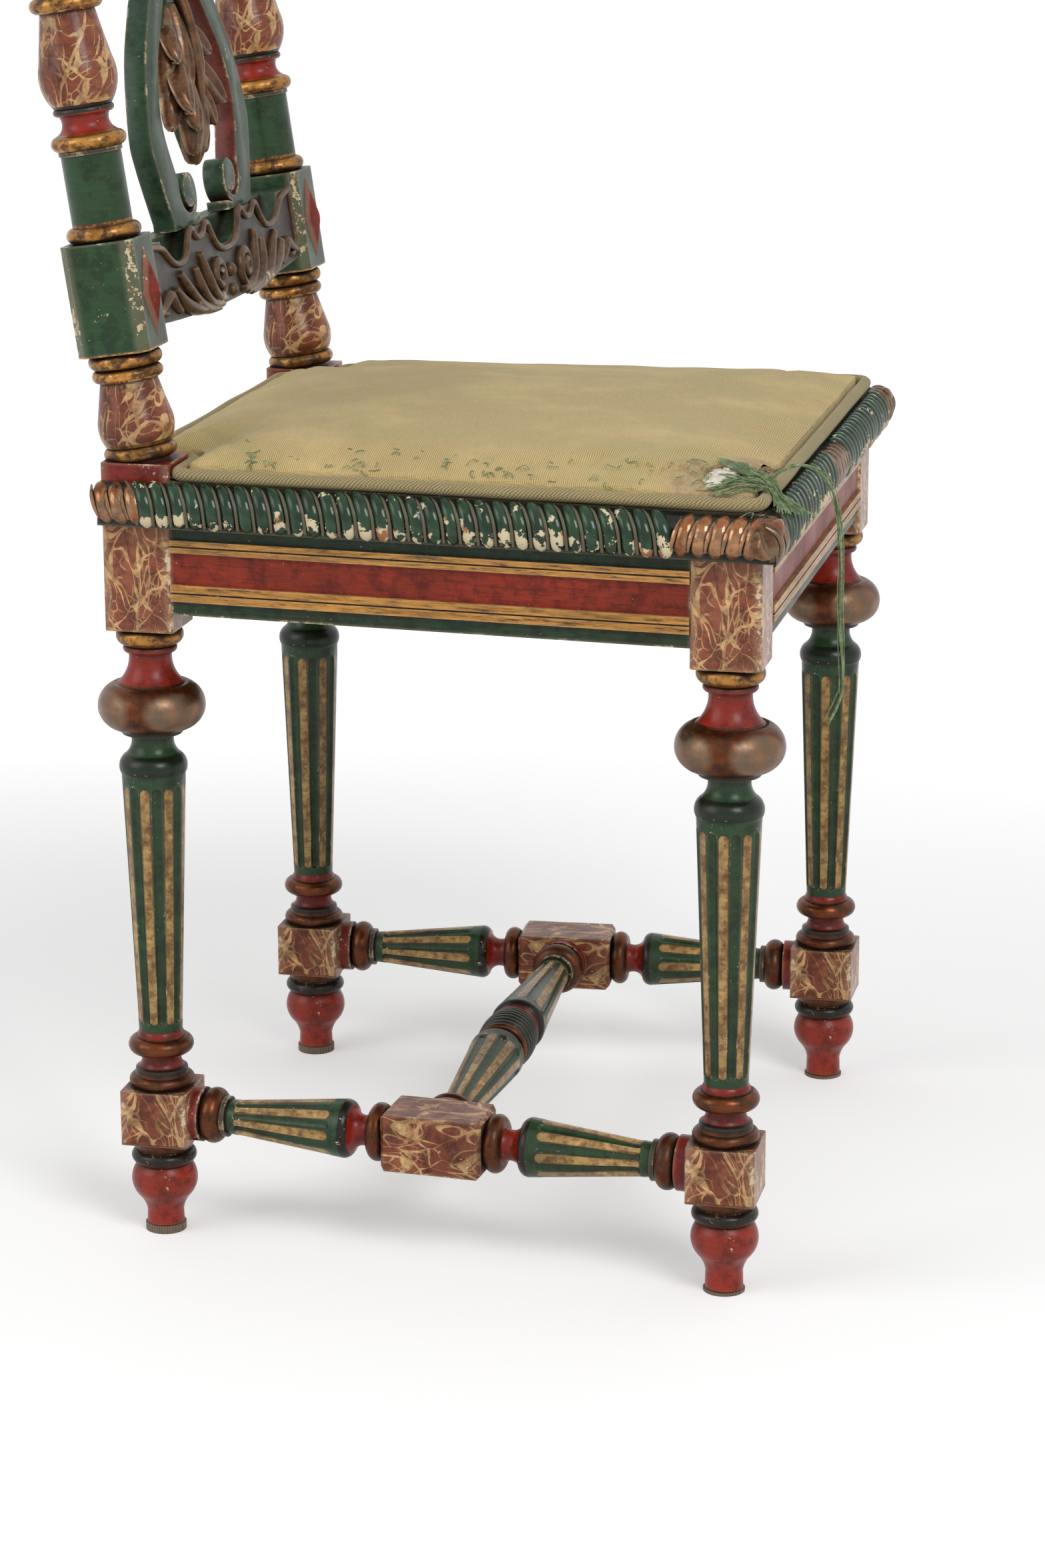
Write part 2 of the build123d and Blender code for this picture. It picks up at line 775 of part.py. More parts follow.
def build_side_rail(side, side_name):
    plan = side_quad(side, rail_front_y, rail_back_y, inner_line, rail_face)
    front_x = side * side_x(rail_front_y, tenon_middle)
    back_x = side * side_x(rail_back_y, tenon_middle)
    half_tenon = rail_tenon_thickness / 2
    with BuildPart() as rail:
        add(prism(plan, rail_bottom, rail_height))
        add(
            rail_box(
                front_x - half_tenon,
                front_x + half_tenon,
                rail_front_y - rail_tenon_length,
                rail_front_y,
                tenon_base,
                tenon_height,
            )
        )
        add(
            rail_box(
                back_x - half_tenon,
                back_x + half_tenon,
                rail_back_y,
                rail_back_y + rail_tenon_length,
                tenon_base,
                tenon_height,
            )
        )
        for hole in screw_holes([side_name]):
            add(hole, mode=Mode.SUBTRACT)
    return rail.part


def build_cross_rail(half_spacing, centre_y):
    half_length = half_spacing - half_leg
    half_thick = rail_thickness / 2
    half_tenon = rail_tenon_thickness / 2
    reach = half_length + rail_tenon_length
    with BuildPart() as rail:
        add(
            rail_box(
                -half_length,
                half_length,
                centre_y - half_thick,
                centre_y + half_thick,
                rail_bottom,
                rail_height,
            )
        )
        add(rail_box(-reach, reach, centre_y - half_tenon, centre_y + half_tenon, tenon_base, tenon_height))
        for hole in screw_holes(sides):
            add(hole, mode=Mode.SUBTRACT)
    return rail.part


for side_name, side in sides.items():
    save(build_side_rail(side, side_name), f"side_rail_{side_name}")
save(build_cross_rail(front_half, front_rail_centre_y), "front_rail")
save(build_cross_rail(rear_half, back_rail_centre_y), "back_rail")

for side_name, side in sides.items():
    for end_name, rear in (("front", False), ("rear", True)):
        with BuildPart() as corner_block:
            bottom = corner_block_top - corner_block_height
            add(prism(corner_points(side, rear), bottom, corner_block_height))
            for head, along in corner_screws(side, rear):
                add(screw_body(head, along, joint_gap, screw_cover * 2), mode=Mode.SUBTRACT)
        save(corner_block.part, f"corner_block_{end_name}_{side_name}")

screws = [
    screw_body(head, along)
    for side in sides.values()
    for rear in (False, True)
    for head, along in corner_screws(side, rear)
]
save(Compound(children=screws), "corner_screws")

# ---------------------------------------------------------------- strips planted on the rails
front_face_y = front_axis_y - rail_face


def side_strip(side, top, height):
    """Gilt strip on a side rail: two flat reeds with a groove between them."""
    outer = rail_face + strip_projection
    reed = (height - strip_groove) / 2
    body = prism(side_quad(side, rail_front_y, rail_back_y, rail_face, outer), top - height, height)
    groove_plan = side_quad(side, rail_front_y, rail_back_y, outer - strip_groove_depth, outer + 1)
    groove = prism(groove_plan, top - height + reed, strip_groove)
    return body - groove


def front_strip(top, height):
    half_length = front_half - half_leg
    reed = (height - strip_groove) / 2
    low_y = front_face_y - strip_projection
    body = rail_box(-half_length, half_length, low_y, front_face_y, top - height, height)
    groove_back = low_y + strip_groove_depth
    groove = rail_box(-half_length, half_length, low_y - 1, groove_back, top - height + reed, strip_groove)
    return body - groove


for strip_name, top, height in (
    ("upper", upper_strip_top, upper_strip_height),
    ("lower", lower_strip_top, lower_strip_height),
):
    for side_name, side in sides.items():
        save(side_strip(side, top, height), f"{strip_name}_strip_{side_name}")
    save(front_strip(top, height), f"{strip_name}_strip_front")

# ---------------------------------------------------------------- gadrooned edge moulding
moulding_front_y = front_axis_y - edge_out
moulding_back_y = rear_axis_y + half_leg


def moulding_section(inner):
    """Thumb shape: local X runs outwards, local Y upwards."""
    points = [(edge_out - inset, edge_moulding_height * share) for inset, share in edge_moulding_profile]
    foot, lip, widest, shoulder, brow, top = points
    with BuildLine() as edge:
        Line((inner, 0), foot)
        ThreePointArc(foot, lip, widest)
        ThreePointArc(widest, shoulder, brow)
        Polyline(brow, top, (inner, edge_moulding_height), (inner, 0))
    return edge.line


leg_box_height = plinth_top + cushion_crown - seat_block_bottom


def leg_boxes():
    """The square blocks of the legs, which the moulding and the cushion fit round."""
    boxes = []
    for side in sides.values():
        for half_spacing, y in ((front_half, front_axis_y), (rear_half, rear_axis_y)):
            x = side * half_spacing
            plan = (x - half_leg, x + half_leg, y - half_leg, y + half_leg)
            boxes.append(rail_box(*plan, seat_block_bottom, leg_box_height))
    return boxes


mitre_x = side_x(moulding_front_y, edge_out)
clear_reach = front_leg_spacing + leg_depth_spacing     # cuts that long pass right through the frame


def mitre_wedge(side, keep_side):
    """Plan of the corner: the half that belongs to the side strip, or to the front strip."""
    corner = (side * mitre_x, moulding_front_y)
    inner = (side * side_x(front_face_y, rail_face), front_face_y)
    run = (inner[0] - corner[0], inner[1] - corner[1])
    start = (corner[0] - run[0], corner[1] - run[1])
    end = (inner[0] + run[0], inner[1] + run[1])
    if keep_side:
        outer_x = side * clear_reach
        points = [start, end, (0, clear_reach), (outer_x, clear_reach), (outer_x, start[1])]
    else:
        points = [start, end, (0, end[1]), (0, start[1])]
    return prism(points, edge_moulding_bottom - 1, edge_moulding_height + 2)


def build_side_moulding(side):
    start_y = moulding_front_y
    run = Vector(side * side_run.X, side_run.Y, 0)
    outwards = Vector(side * side_run.Y, -side_run.X, 0)
    origin = Vector(side * side_x(start_y), start_y, edge_moulding_bottom)
    plane = Plane(origin=origin, x_dir=outwards, z_dir=outwards.cross(Vector(0, 0, 1)))
    length = moulding_back_y - start_y + edge_out
    with BuildPart() as strip:
        with BuildSketch(plane):
            add(moulding_section(rail_face))
            make_face()
        extrude(amount=length, both=True)
        behind = (moulding_back_y, moulding_back_y + clear_reach)
        add(rail_box(-clear_reach, clear_reach, *behind, 0, clear_reach), mode=Mode.SUBTRACT)
        add(mitre_wedge(side, True), mode=Mode.INTERSECT)
        for box in leg_boxes():
            add(box, mode=Mode.SUBTRACT)
    return strip.part


def build_front_moulding():
    origin = Vector(0, front_axis_y, edge_moulding_bottom)
    plane = Plane(origin=origin, x_dir=(0, -1, 0), z_dir=(-1, 0, 0))
    with BuildPart() as strip:
        with BuildSketch(plane):
            add(moulding_section(rail_face))
            make_face()
        extrude(amount=mitre_x + 1, both=True)
    shape = strip.part & (mitre_wedge(1, False) + mitre_wedge(-1, False))
    for box in leg_boxes():
        shape -= box
    return shape


for side_name, side in sides.items():
    save(build_side_moulding(side), f"edge_moulding_{side_name}")
save(build_front_moulding(), "edge_moulding_front")

# ---------------------------------------------------------------- seat filling
fillet_inner = rail_face - fillet_strip_width
for side_name, side in sides.items():
    plan = side_quad(side, front_face_y, rail_back_y, fillet_inner, rail_face)
    save(prism(plan, rail_top, fillet_strip_height), f"fillet_strip_{side_name}")
front_fillet_half = side_x(front_face_y + fillet_strip_width, fillet_inner)
save(
    prism(
        [
            (-side_x(front_face_y, fillet_inner), front_face_y),
            (side_x(front_face_y, fillet_inner), front_face_y),
            (front_fillet_half, front_face_y + fillet_strip_width),
            (-front_fillet_half, front_face_y + fillet_strip_width),
        ],
        rail_top,
        fillet_strip_height,
    ),
    "fillet_strip_front",
)

web_front_y = front_face_y + fillet_strip_width
web_back_y = rear_axis_y + rail_face - fillet_strip_width
web_inner_half = rear_half - half_leg - post_clearance

# Lengthwise bands run front to back between the rear posts, crosswise bands lie on them
long_pitch = 2 * web_inner_half / webbing_count
long_bands = [
    rail_box(
        -web_inner_half + long_pitch * (index + 0.5) - webbing_width / 2,
        -web_inner_half + long_pitch * (index + 0.5) + webbing_width / 2,
        web_front_y,
        web_back_y,
        rail_top,
        webbing_thickness,
    )
    for index in range(webbing_count)
]
save(Compound(children=long_bands), "webbing_long")
cross_pitch = (rail_back_y - rail_front_y) / webbing_count
cross_bands = [
    rail_box(
        -side_x(rail_front_y + cross_pitch * (index + 0.5), fillet_inner - 4),
        side_x(rail_front_y + cross_pitch * (index + 0.5), fillet_inner - 4),
        rail_front_y + cross_pitch * (index + 0.5) - webbing_width / 2,
        rail_front_y + cross_pitch * (index + 0.5) + webbing_width / 2,
        rail_top + webbing_thickness,
        webbing_thickness,
    )
    for index in range(webbing_count)
]
save(Compound(children=cross_bands), "webbing_cross")

hessian_base = rail_top + 2 * webbing_thickness
cushion_base = hessian_base + hessian_thickness
cushion_edge = half_leg - cushion_inset
notch_gap = piping_diameter + post_clearance


def seat_outline(grow):
    """Corners of the cushion's plan, moved outwards by grow, with the notches at the rear posts."""
    front_y = front_axis_y - cushion_edge - grow
    back_y = rear_axis_y + cushion_edge + grow - piping_diameter
    notch_y = rail_back_y - notch_gap + grow
    notch_x = rear_half - half_leg - notch_gap + grow
    left = [
        (side_x(front_y, cushion_edge + grow), front_y),
        (side_x(notch_y, cushion_edge + grow), notch_y),
        (notch_x, notch_y),
        (notch_x, back_y),
    ]
    return left + [(-x, y) for x, y in reversed(left)]


def seat_radii(grow):
    left = [cushion_round + grow, cushion_round + grow, notch_round - grow, cushion_round + grow]
    return left + left[::-1]


def slab(grow, base, height):
    with BuildPart() as body:
        with BuildSketch(Plane.XY.offset(base)):
            with BuildLine():
                FilletPolyline(*seat_outline(grow), radius=seat_radii(grow), close=True)
            make_face()
        extrude(amount=height)
    return body.part


save(slab(-1.0, hessian_base, hessian_thickness), "hessian")

crown_height = cushion_crown - cushion_side_height
crown_rings = (                 # how far in from the edge, and share of the crown's height
    (4.0, 0.0),
    (18.0, 0.42),
    (46.0, 0.72),
    (100.0, 1.0),
)
with BuildPart() as cushion:
    add(slab(0.0, cushion_base, cushion_side_height))
    for inset, rise in crown_rings:
        level = cushion_base + cushion_side_height + crown_height * rise
        with BuildSketch(Plane.XY.offset(level)):
            with BuildLine():
                Polyline(*seat_outline(-inset), close=True)
            make_face()
    loft(ruled=True)

# ---------------------------------------------------------------- loose thread at the torn corner
thread_points = [
    (-177.0, -221.0, 481.5),
    (-174.0, -237.0, 492.5),
    (-168.0, -252.0, 493.0),
    (-163.0, -262.0, 481.0),
    (-162.0, -267.0, 459.0),
    (-161.0, -268.0, 430.0),
    (-160.0, -267.0, 400.0),
    (-159.0, -270.0, 372.0),
    (-160.5, -269.0, 353.0),
    (-164.0, -262.0, 341.0),
]


def thread_radii():
    radii = []
    for before, here, after in zip(thread_points, thread_points[1:], thread_points[2:]):
        run_in = Vector(*here) - Vector(*before)
        run_out = Vector(*after) - Vector(*here)
        half_turn = math.radians(run_in.get_angle(run_out) / 2)
        radii.append(0.45 * min(run_in.length, run_out.length) / math.tan(half_turn))
    return radii


with BuildPart() as thread:
    with BuildLine() as thread_path:
        FilletPolyline(*thread_points, radius=thread_radii())
    with BuildSketch(Plane(origin=thread_path.line @ 0, z_dir=thread_path.line % 0)):
        Circle(thread_diameter / 2)
    sweep(path=thread_path.line)
thread_section = math.pi * thread_diameter**2 / 4
thread_length = thread_path.wire().length
print("thread volume", thread.part.volume, "expected", thread_section * thread_length)
save(thread.part, "loose_thread")

# The cushion gives way round the thread where it comes out
save(cushion.part - thread.part, "cushion")

piping_height = cushion_base + piping_diameter / 2
pipe_grow = piping_diameter / 2
with BuildPart() as piping:
    with BuildLine(Plane.XY.offset(piping_height)) as pipe_path:
        FilletPolyline(*seat_outline(pipe_grow), radius=seat_radii(pipe_grow), close=True)
    with BuildSketch(Plane(origin=pipe_path.line @ 0, z_dir=pipe_path.line % 0)):
        Circle(piping_diameter / 2 - joint_gap / 2)
    sweep(path=pipe_path.line)
save(piping.part, "cushion_piping")

# ---------------------------------------------------------------- stretchers
side_centre_x = side_x(middle_y)
side_half_length = leg_depth_spacing / 2 - half_leg
side_half_length = side_half_length / side_run.Y
neck_low = stretcher_neck_radius + neck_fullness
middle_neck_low = middle_neck_radius + neck_fullness
neck_flare = [
    bead(stretcher_ring_height, stretcher_ring_radius),
    cove(stretcher_neck_length, neck_low, stretcher_flare_radius, stretcher_neck_radius),
    cove(stretcher_shoulder_length, stretcher_flare_radius, cone_wide_radius, cone_shoulder_radius),
]
cone_end = [
    straight(stretcher_step_length, stretcher_step_radius, stretcher_step_radius),
    bead(stretcher_torus_length, stretcher_torus_radius),
    straight(stretcher_collar_length, stretcher_collar_radius, stretcher_collar_radius),
]
block_half = stretcher_block_length / 2
cone_start = block_half + total_length(neck_flare)
cone_stop = side_half_length - total_length(cone_end)

barrel_half = barrel_length / 2
middle_inner = [
    bead(middle_ring_length, middle_ring_radius),
    cove(middle_neck_length, middle_neck_low, stretcher_flare_radius, middle_neck_radius),
    cove(stretcher_shoulder_length, stretcher_flare_radius, cone_wide_radius, cone_shoulder_radius),
]
rib_length = barrel_length / barrel_rib_count
rib_places = [(index + 0.5) / barrel_rib_count * 2 - 1 for index in range(barrel_rib_count)]
rib_tops = [barrel_radius - barrel_swell * place**2 for place in rib_places]
barrel_ribs = [cove(rib_length, top - barrel_rib_depth, top - barrel_rib_depth, top) for top in rib_tops]
middle_half_length = side_centre_x - stretcher_block_square / 2
middle_cone_start = barrel_half + total_length(middle_inner)
middle_cone_stop = middle_half_length - total_length(cone_end)


side_cone = fluted_column(cone_stop - cone_start, cone_wide_radius, cone_narrow_radius)
middle_cone = fluted_column(middle_cone_stop - middle_cone_start, cone_wide_radius, cone_narrow_radius)


def stretcher_centre(side):
    return Vector(side * side_centre_x, middle_y, stretcher_height)


def stretcher_block(side):
    """Square block in the middle of a side stretcher."""
    direction = side_direction(side)
    centre = stretcher_centre(side)
    plane = Plane(origin=centre - direction * block_half, x_dir=(0, 0, 1), z_dir=direction)
    with BuildPart() as block:
        with BuildSketch(plane):
            Rectangle(stretcher_block_square, stretcher_block_square)
        extrude(amount=stretcher_block_length)
    return block.part


def tenon_core(origin, along):
    """What a housing leaves of a turned tenon: the tenon itself."""
    lead = 2 * stretcher_tenon_radius
    plane = Plane(origin=Vector(*origin) - Vector(*along) * lead, z_dir=along)
    with BuildPart() as core:
        with BuildSketch(plane):
            Circle(stretcher_tenon_radius)
        extrude(amount=2 * lead + stretcher_tenon_length)
    return core.part


tenon_steps = [
    straight(stretcher_collar_length + 2, stretcher_collar_radius, stretcher_collar_radius),
    straight(stretcher_tenon_length - 2, stretcher_tenon_radius, stretcher_tenon_radius),
]


def build_side_stretcher(side):
    direction = side_direction(side)
    centre = stretcher_centre(side)
    with BuildPart() as stretcher:
        add(stretcher_block(side))
        end_faces = stretcher.faces().filter_by(Axis(centre, direction))
        chamfer(end_faces.edges(), stretcher_block_chamfer)
        for way in (-1, 1):
            along = tuple(direction * way)
            add(turned(centre, along, block_half, neck_flare, upwards))
            add(turned(centre, along, cone_stop, cone_end[:-1] + tenon_steps, upwards))
            add(placed(side_cone, centre, along, cone_start, upwards))
        ends = [direction * (way * side_half_length) for way in (-1, 1)]
        cores = [tenon_core(centre + end, tuple(end.normalized())) for end in ends]
        for box in lower_leg_boxes(side):
            add(box - cores[0] - cores[1], mode=Mode.SUBTRACT)
        middle_end = (side * middle_half_length, middle_y, stretcher_height)
        hole = socket(middle_end, (side, 0, 0), stretcher_tenon_radius, stretcher_tenon_length)
        add(hole, mode=Mode.SUBTRACT)
    return stretcher.part


def lower_leg_boxes(side):
    """Lower square blocks of the two legs on one side."""
    boxes = []
    for half_spacing, y in ((front_half, front_axis_y), (rear_half, rear_axis_y)):
        x = side * half_spacing
        low = lower_block_bottom - 20
        boxes.append(
            rail_box(x - half_leg, x + half_leg, y - half_leg, y + half_leg, low, lower_block_height + 40)
        )
    return boxes


def build_middle_stretcher():
    centre = (0, middle_y, stretcher_height)
    with BuildPart() as stretcher:
        add(turned(centre, (1, 0, 0), -barrel_half, barrel_ribs, upwards))
        for way in (-1, 1):
            along = (way, 0, 0)
            add(turned(centre, along, barrel_half, middle_inner, upwards))
            add(turned(centre, along, middle_cone_stop, cone_end[:-1] + tenon_steps, upwards))
            add(placed(middle_cone, centre, along, middle_cone_start, upwards))
        for side in sides.values():
            tenon = tenon_core((side * middle_half_length, middle_y, stretcher_height), (side, 0, 0))
            add(stretcher_block(side) - tenon, mode=Mode.SUBTRACT)
    return stretcher.part


for side_name, side in sides.items():
    save(build_side_stretcher(side), f"side_stretcher_{side_name}")
save(build_middle_stretcher(), "middle_stretcher")

# ---------------------------------------------------------------- lower back rail and crest rail
back_rail_half = rear_half - half_post
lower_rail_top = lower_rail_bottom + lower_rail_height
crest_rail_top = crest_rail_bottom + crest_end_height
scallop_depth = 17.0
scallop_front = 12.0            # how far back the scallops reach from the front face
scallops = ((0.0, 80.0), (-0.62 * back_rail_half, 62.0), (0.62 * back_rail_half, 62.0))


def rail_tenons(low, height):
    """Flat tenons at both ends of a back rail, through its whole width as one bar."""
    reach = back_rail_half + back_tenon_length
    ahead = back_rail_front - back_rail_thickness / 2 - back_tenon_thickness / 2
    with BuildPart() as bar:
        with BuildSketch(back_plane(ahead)):
            with Locations((0, low + height / 2)):
                Rectangle(2 * reach, height)
        extrude(amount=back_tenon_thickness)
    return bar.part


def scallop_cut(centre, width):
    """Dish cut into the rail's upper front edge."""
    half = width / 2
    top = lower_rail_top
    with BuildPart() as dish:
        with BuildSketch(back_plane(back_rail_front - scallop_front)):
            with BuildLine():
                ThreePointArc((centre - half, top), (centre, top - scallop_depth), (centre + half, top))
                Line((centre + half, top), (centre + half, top + 5))
                Line((centre + half, top + 5), (centre - half, top + 5))
                Line((centre - half, top + 5), (centre - half, top))
            make_face()
        extrude(amount=scallop_front + 1)
    return dish.part


with BuildPart() as lower_rail:
    with BuildSketch(back_plane(back_rail_front - back_rail_thickness)):
        with BuildLine():
            ThreePointArc(
                (-back_rail_half, lower_rail_bottom),
                (0, lower_rail_bottom - lower_rail_belly),
                (back_rail_half, lower_rail_bottom),
            )
            Polyline(
                (back_rail_half, lower_rail_bottom),
                (back_rail_half, lower_rail_top),
                (-back_rail_half, lower_rail_top),
                (-back_rail_half, lower_rail_bottom),
            )
        make_face()
    extrude(amount=back_rail_thickness)
    add(rail_tenons(lower_tenon_low, lower_tenon_height))
    for centre, width in scallops:
        add(scallop_cut(centre, width), mode=Mode.SUBTRACT)

dowel_places = [side * (foot_inner + foot_outer) / 2 for side in sides.values()]
horn_top_inner = horn_outer - arm_width
horn_places = [side * (horn_outer + horn_top_inner) / 2 for side in sides.values()]
splat_middle = splat_front - splat_thickness / 2


def dowel(x, along, clearance=0.0):
    """Round dowel across a joint of the splat, half in each piece."""
    reach = dowel_length / 2 + clearance
    plane = Plane(origin=back_point(x, along - reach, splat_middle), z_dir=back_up)
    with BuildPart() as peg:
        with BuildSketch(plane):
            Circle(dowel_radius + clearance)
        extrude(amount=2 * reach)
    return peg.part


lower_back_rail = lower_rail.part
for x in dowel_places:
    lower_back_rail = lower_back_rail - dowel(x, lower_rail_top, joint_gap)
save(lower_back_rail, "lower_back_rail")

with BuildPart() as crest:
    with BuildSketch(back_plane(back_rail_front - back_rail_thickness)):
        with BuildLine():
            ThreePointArc(
                (-back_rail_half, crest_rail_top),
                (0, crest_rail_top + crest_rise),
                (back_rail_half, crest_rail_top),
            )
            Polyline(
                (back_rail_half, crest_rail_top),
                (back_rail_half, crest_rail_bottom),
                (-back_rail_half, crest_rail_bottom),
                (-back_rail_half, crest_rail_top),
            )
        make_face()
    extrude(amount=back_rail_thickness)
    add(rail_tenons(crest_tenon_low, crest_tenon_height))
crest_rail = crest.part
for x in horn_places:
    crest_rail = crest_rail - dowel(x, crest_rail_bottom, joint_gap)
save(crest_rail, "crest_rail")

pegs = [dowel(x, lower_rail_top) for x in dowel_places]
pegs += [dowel(x, crest_rail_bottom) for x in horn_places]
save(Compound(children=pegs), "splat_dowels")

with BuildPart() as cartouche:
    with BuildSketch(back_plane(back_rail_front)):
        with Locations((0, crest_rail_bottom + (crest_end_height + crest_rise) / 2)):
            Ellipse(cartouche_width / 2, 0.36 * (crest_end_height + crest_rise))
    extrude(amount=cartouche_thickness)
    rim = cartouche.faces().sort_by(Axis(back_point(0, 0), back_normal))[-1].edges()
    chamfer(rim, 0.6 * cartouche_thickness)
save(cartouche.part, "crest_cartouche")

# ---------------------------------------------------------------- lyre splat
eye_height = lower_rail_top + foot_height + eye_radius - 1
splat_height = crest_rail_bottom - lower_rail_top


def rise(share):
    """Height on the splat as a share of its whole height."""
    return lower_rail_top + splat_height * share


waist_inner = waist_outer - arm_width
outer_curve = [
    (foot_outer, lower_rail_top + foot_height),
    (belly_outer - 2, rise(0.13)),
    (belly_outer, rise(0.19)),
    (belly_outer - 13, rise(0.31)),
    (belly_outer - 34, rise(0.40)),
    (waist_outer, rise(0.49)),
    (waist_outer + 9, rise(0.60)),
    (horn_outer - 26, rise(0.75)),
    (horn_outer, rise(0.93)),
]
inner_curve = [
    (horn_top_inner, rise(0.93)),
    (horn_outer - 26 - arm_width, rise(0.76)),
    (waist_inner + 6, rise(0.61)),
    (waist_inner, rise(0.48)),
    (belly_outer - 54, rise(0.375)),
    (belly_outer - 33, rise(0.29)),
    (belly_outer - 25, rise(0.19)),
    (eye_centre + eye_radius - 1, eye_height),
]


def build_lyre_arm(side):
    outer = [(side * x, y) for x, y in outer_curve]
    inner = [(side * x, y) for x, y in inner_curve]
    with BuildPart() as arm:
        with BuildSketch(back_plane(splat_front - splat_thickness)):
            with BuildLine():
                Line((side * foot_inner, lower_rail_top), (side * foot_outer, lower_rail_top))
                Line((side * foot_outer, lower_rail_top), outer[0])
                Spline(*outer)
                Polyline(
                    outer[-1],
                    (side * horn_outer, crest_rail_bottom),
                    (side * horn_top_inner, crest_rail_bottom),
                    inner[0],
                )
                Spline(*inner)
                Polyline(
                    inner[-1],
                    (side * foot_inner, eye_height),
                    (side * foot_inner, lower_rail_top),
                )
            make_face()
            with Locations((side * eye_centre, eye_height)):
                Circle(eye_radius)
        extrude(amount=splat_thickness)
    shape = arm.part
    shape = shape - dowel(side * (foot_inner + foot_outer) / 2, lower_rail_top, joint_gap)
    return shape - dowel(side * (horn_outer + horn_top_inner) / 2, crest_rail_bottom, joint_gap)


for side_name, side in sides.items():
    save(build_lyre_arm(side), f"lyre_arm_{side_name}")

leaf_low = rise(0.11)
leaf_high = leaf_low + leaf_length
leaf_back_front = splat_front - splat_thickness / 2


def leaf_solid(half_widths, low, high, ahead, thickness):
    """Leaf cut from a board: half widths at even steps of its height, from its point upwards."""
    step = (high - low) / len(half_widths)
    points = [(0, low)]
    points += [(half_width, low + step * (index + 1)) for index, half_width in enumerate(half_widths)]
    with BuildPart() as body:
        with BuildSketch(back_plane(ahead)):
            with BuildLine():
                Polyline(*points, *[(-x, y) for x, y in reversed(points[1:])], close=True)
            make_face()
        extrude(amount=thickness)
    return body.part


def beyond_arm(side):
    """Everything from the inner edge of an arm outwards."""
    inner = [(side * x, y) for x, y in inner_curve]
    far_x = side * (belly_outer + arm_width)
    with BuildPart() as outside:
        with BuildSketch(back_plane(splat_front - splat_thickness)):
            with BuildLine():
                Spline(*inner)
                Polyline(inner[-1], (far_x, eye_height), (far_x, inner[0][1]), inner[0])
            make_face()
            with Locations((side * eye_centre, eye_height)):
                Circle(eye_radius)
        extrude(amount=splat_thickness)
    return outside.part


# The backing reaches the lyre's arms at its shoulders and is let in between them
backing = leaf_solid(
    backing_half_widths, leaf_low, leaf_high, splat_front - splat_thickness, splat_thickness / 2
)
for side in sides.values():
    backing = backing - beyond_arm(side)
save(backing, "leaf_backing")
leaf_point = leaf_low + leaf_margin
save(leaf_solid(leaf_half_widths, leaf_point, leaf_high, leaf_back_front, leaf_thickness), "acanthus_drop")

with BuildPart() as tie:
    with BuildSketch(back_plane(splat_front)):
        with Locations((0, leaf_high + collar_height / 2 + joint_gap)):
            RectangleRounded(2 * (waist_outer + collar_overhang), collar_height, 4)
    extrude(amount=collar_overhang)
save(tie.part, "lyre_collar")

# ---------------------------------------------------------------- bosses and finials


def lozenge(side, along):
    """Faceted diamond boss on the front of a post block."""
    centre = back_point(side * rear_half, along, half_post)
    plane = Plane(origin=centre, x_dir=(1, 0, 0), z_dir=back_normal)
    half_width = lozenge_width / 2
    half_height = lozenge_height / 2
    with BuildPart() as boss:
        for share, lift in ((1.0, 0.0), (0.1, lozenge_thickness)):
            with BuildSketch(plane.offset(lift)):
                with BuildLine():
                    Polyline(
                        (half_width * share, 0),
                        (0, half_height * share),
                        (-half_width * share, 0),
                        (0, -half_height * share),
                        close=True,
                    )
                make_face()
        loft(ruled=True)
    return boss.part


for side_name, side in sides.items():
    save(lozenge(side, lower_block_start + post_block_height / 2), f"lower_lozenge_{side_name}")
    save(lozenge(side, crest_block_start + crest_block_height / 2), f"crest_lozenge_{side_name}")


def build_finial(side):
    base = back_point(side * rear_half, 0)
    tip_start = finial_ball_centre + math.sqrt(finial_ball_radius**2 - finial_tip_radius**2)
    ball_height_on_axis = tip_start - finial_ball_start
    with BuildPart() as finial:
        with BuildSketch(axis_plane(base, tuple(back_up))):
            with BuildLine():
                foot_top = post_end + finial_foot_height
                Polyline(
                    (finial_neck_radius, foot_top + 1),
                    (finial_foot_radius, foot_top),
                    (finial_foot_radius, post_end),
                    (finial_pin_radius, post_end),
                    (finial_pin_radius, post_end - finial_pin_length),
                    (0, post_end - finial_pin_length),
                    (0, tip_start + finial_tip_height),
                )
                ThreePointArc(
                    (0, tip_start + finial_tip_height),
                    (finial_tip_radius * 0.9, tip_start + finial_tip_height * 0.6),
                    (finial_tip_radius, tip_start),
                )
                ThreePointArc(
                    (finial_tip_radius, tip_start),
                    (finial_ball_radius, finial_ball_centre),
                    (finial_neck_radius, finial_ball_start),
                )
                Line((finial_neck_radius, finial_ball_start), (finial_neck_radius, foot_top + 1))
            make_face()
        revolve(axis=Axis(base, back_up))
    return finial.part


for side_name, side in sides.items():
    save(build_finial(side), f"finial_{side_name}")
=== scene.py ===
import math

import bmesh
import bpy
from mathutils import Matrix, Vector, noise


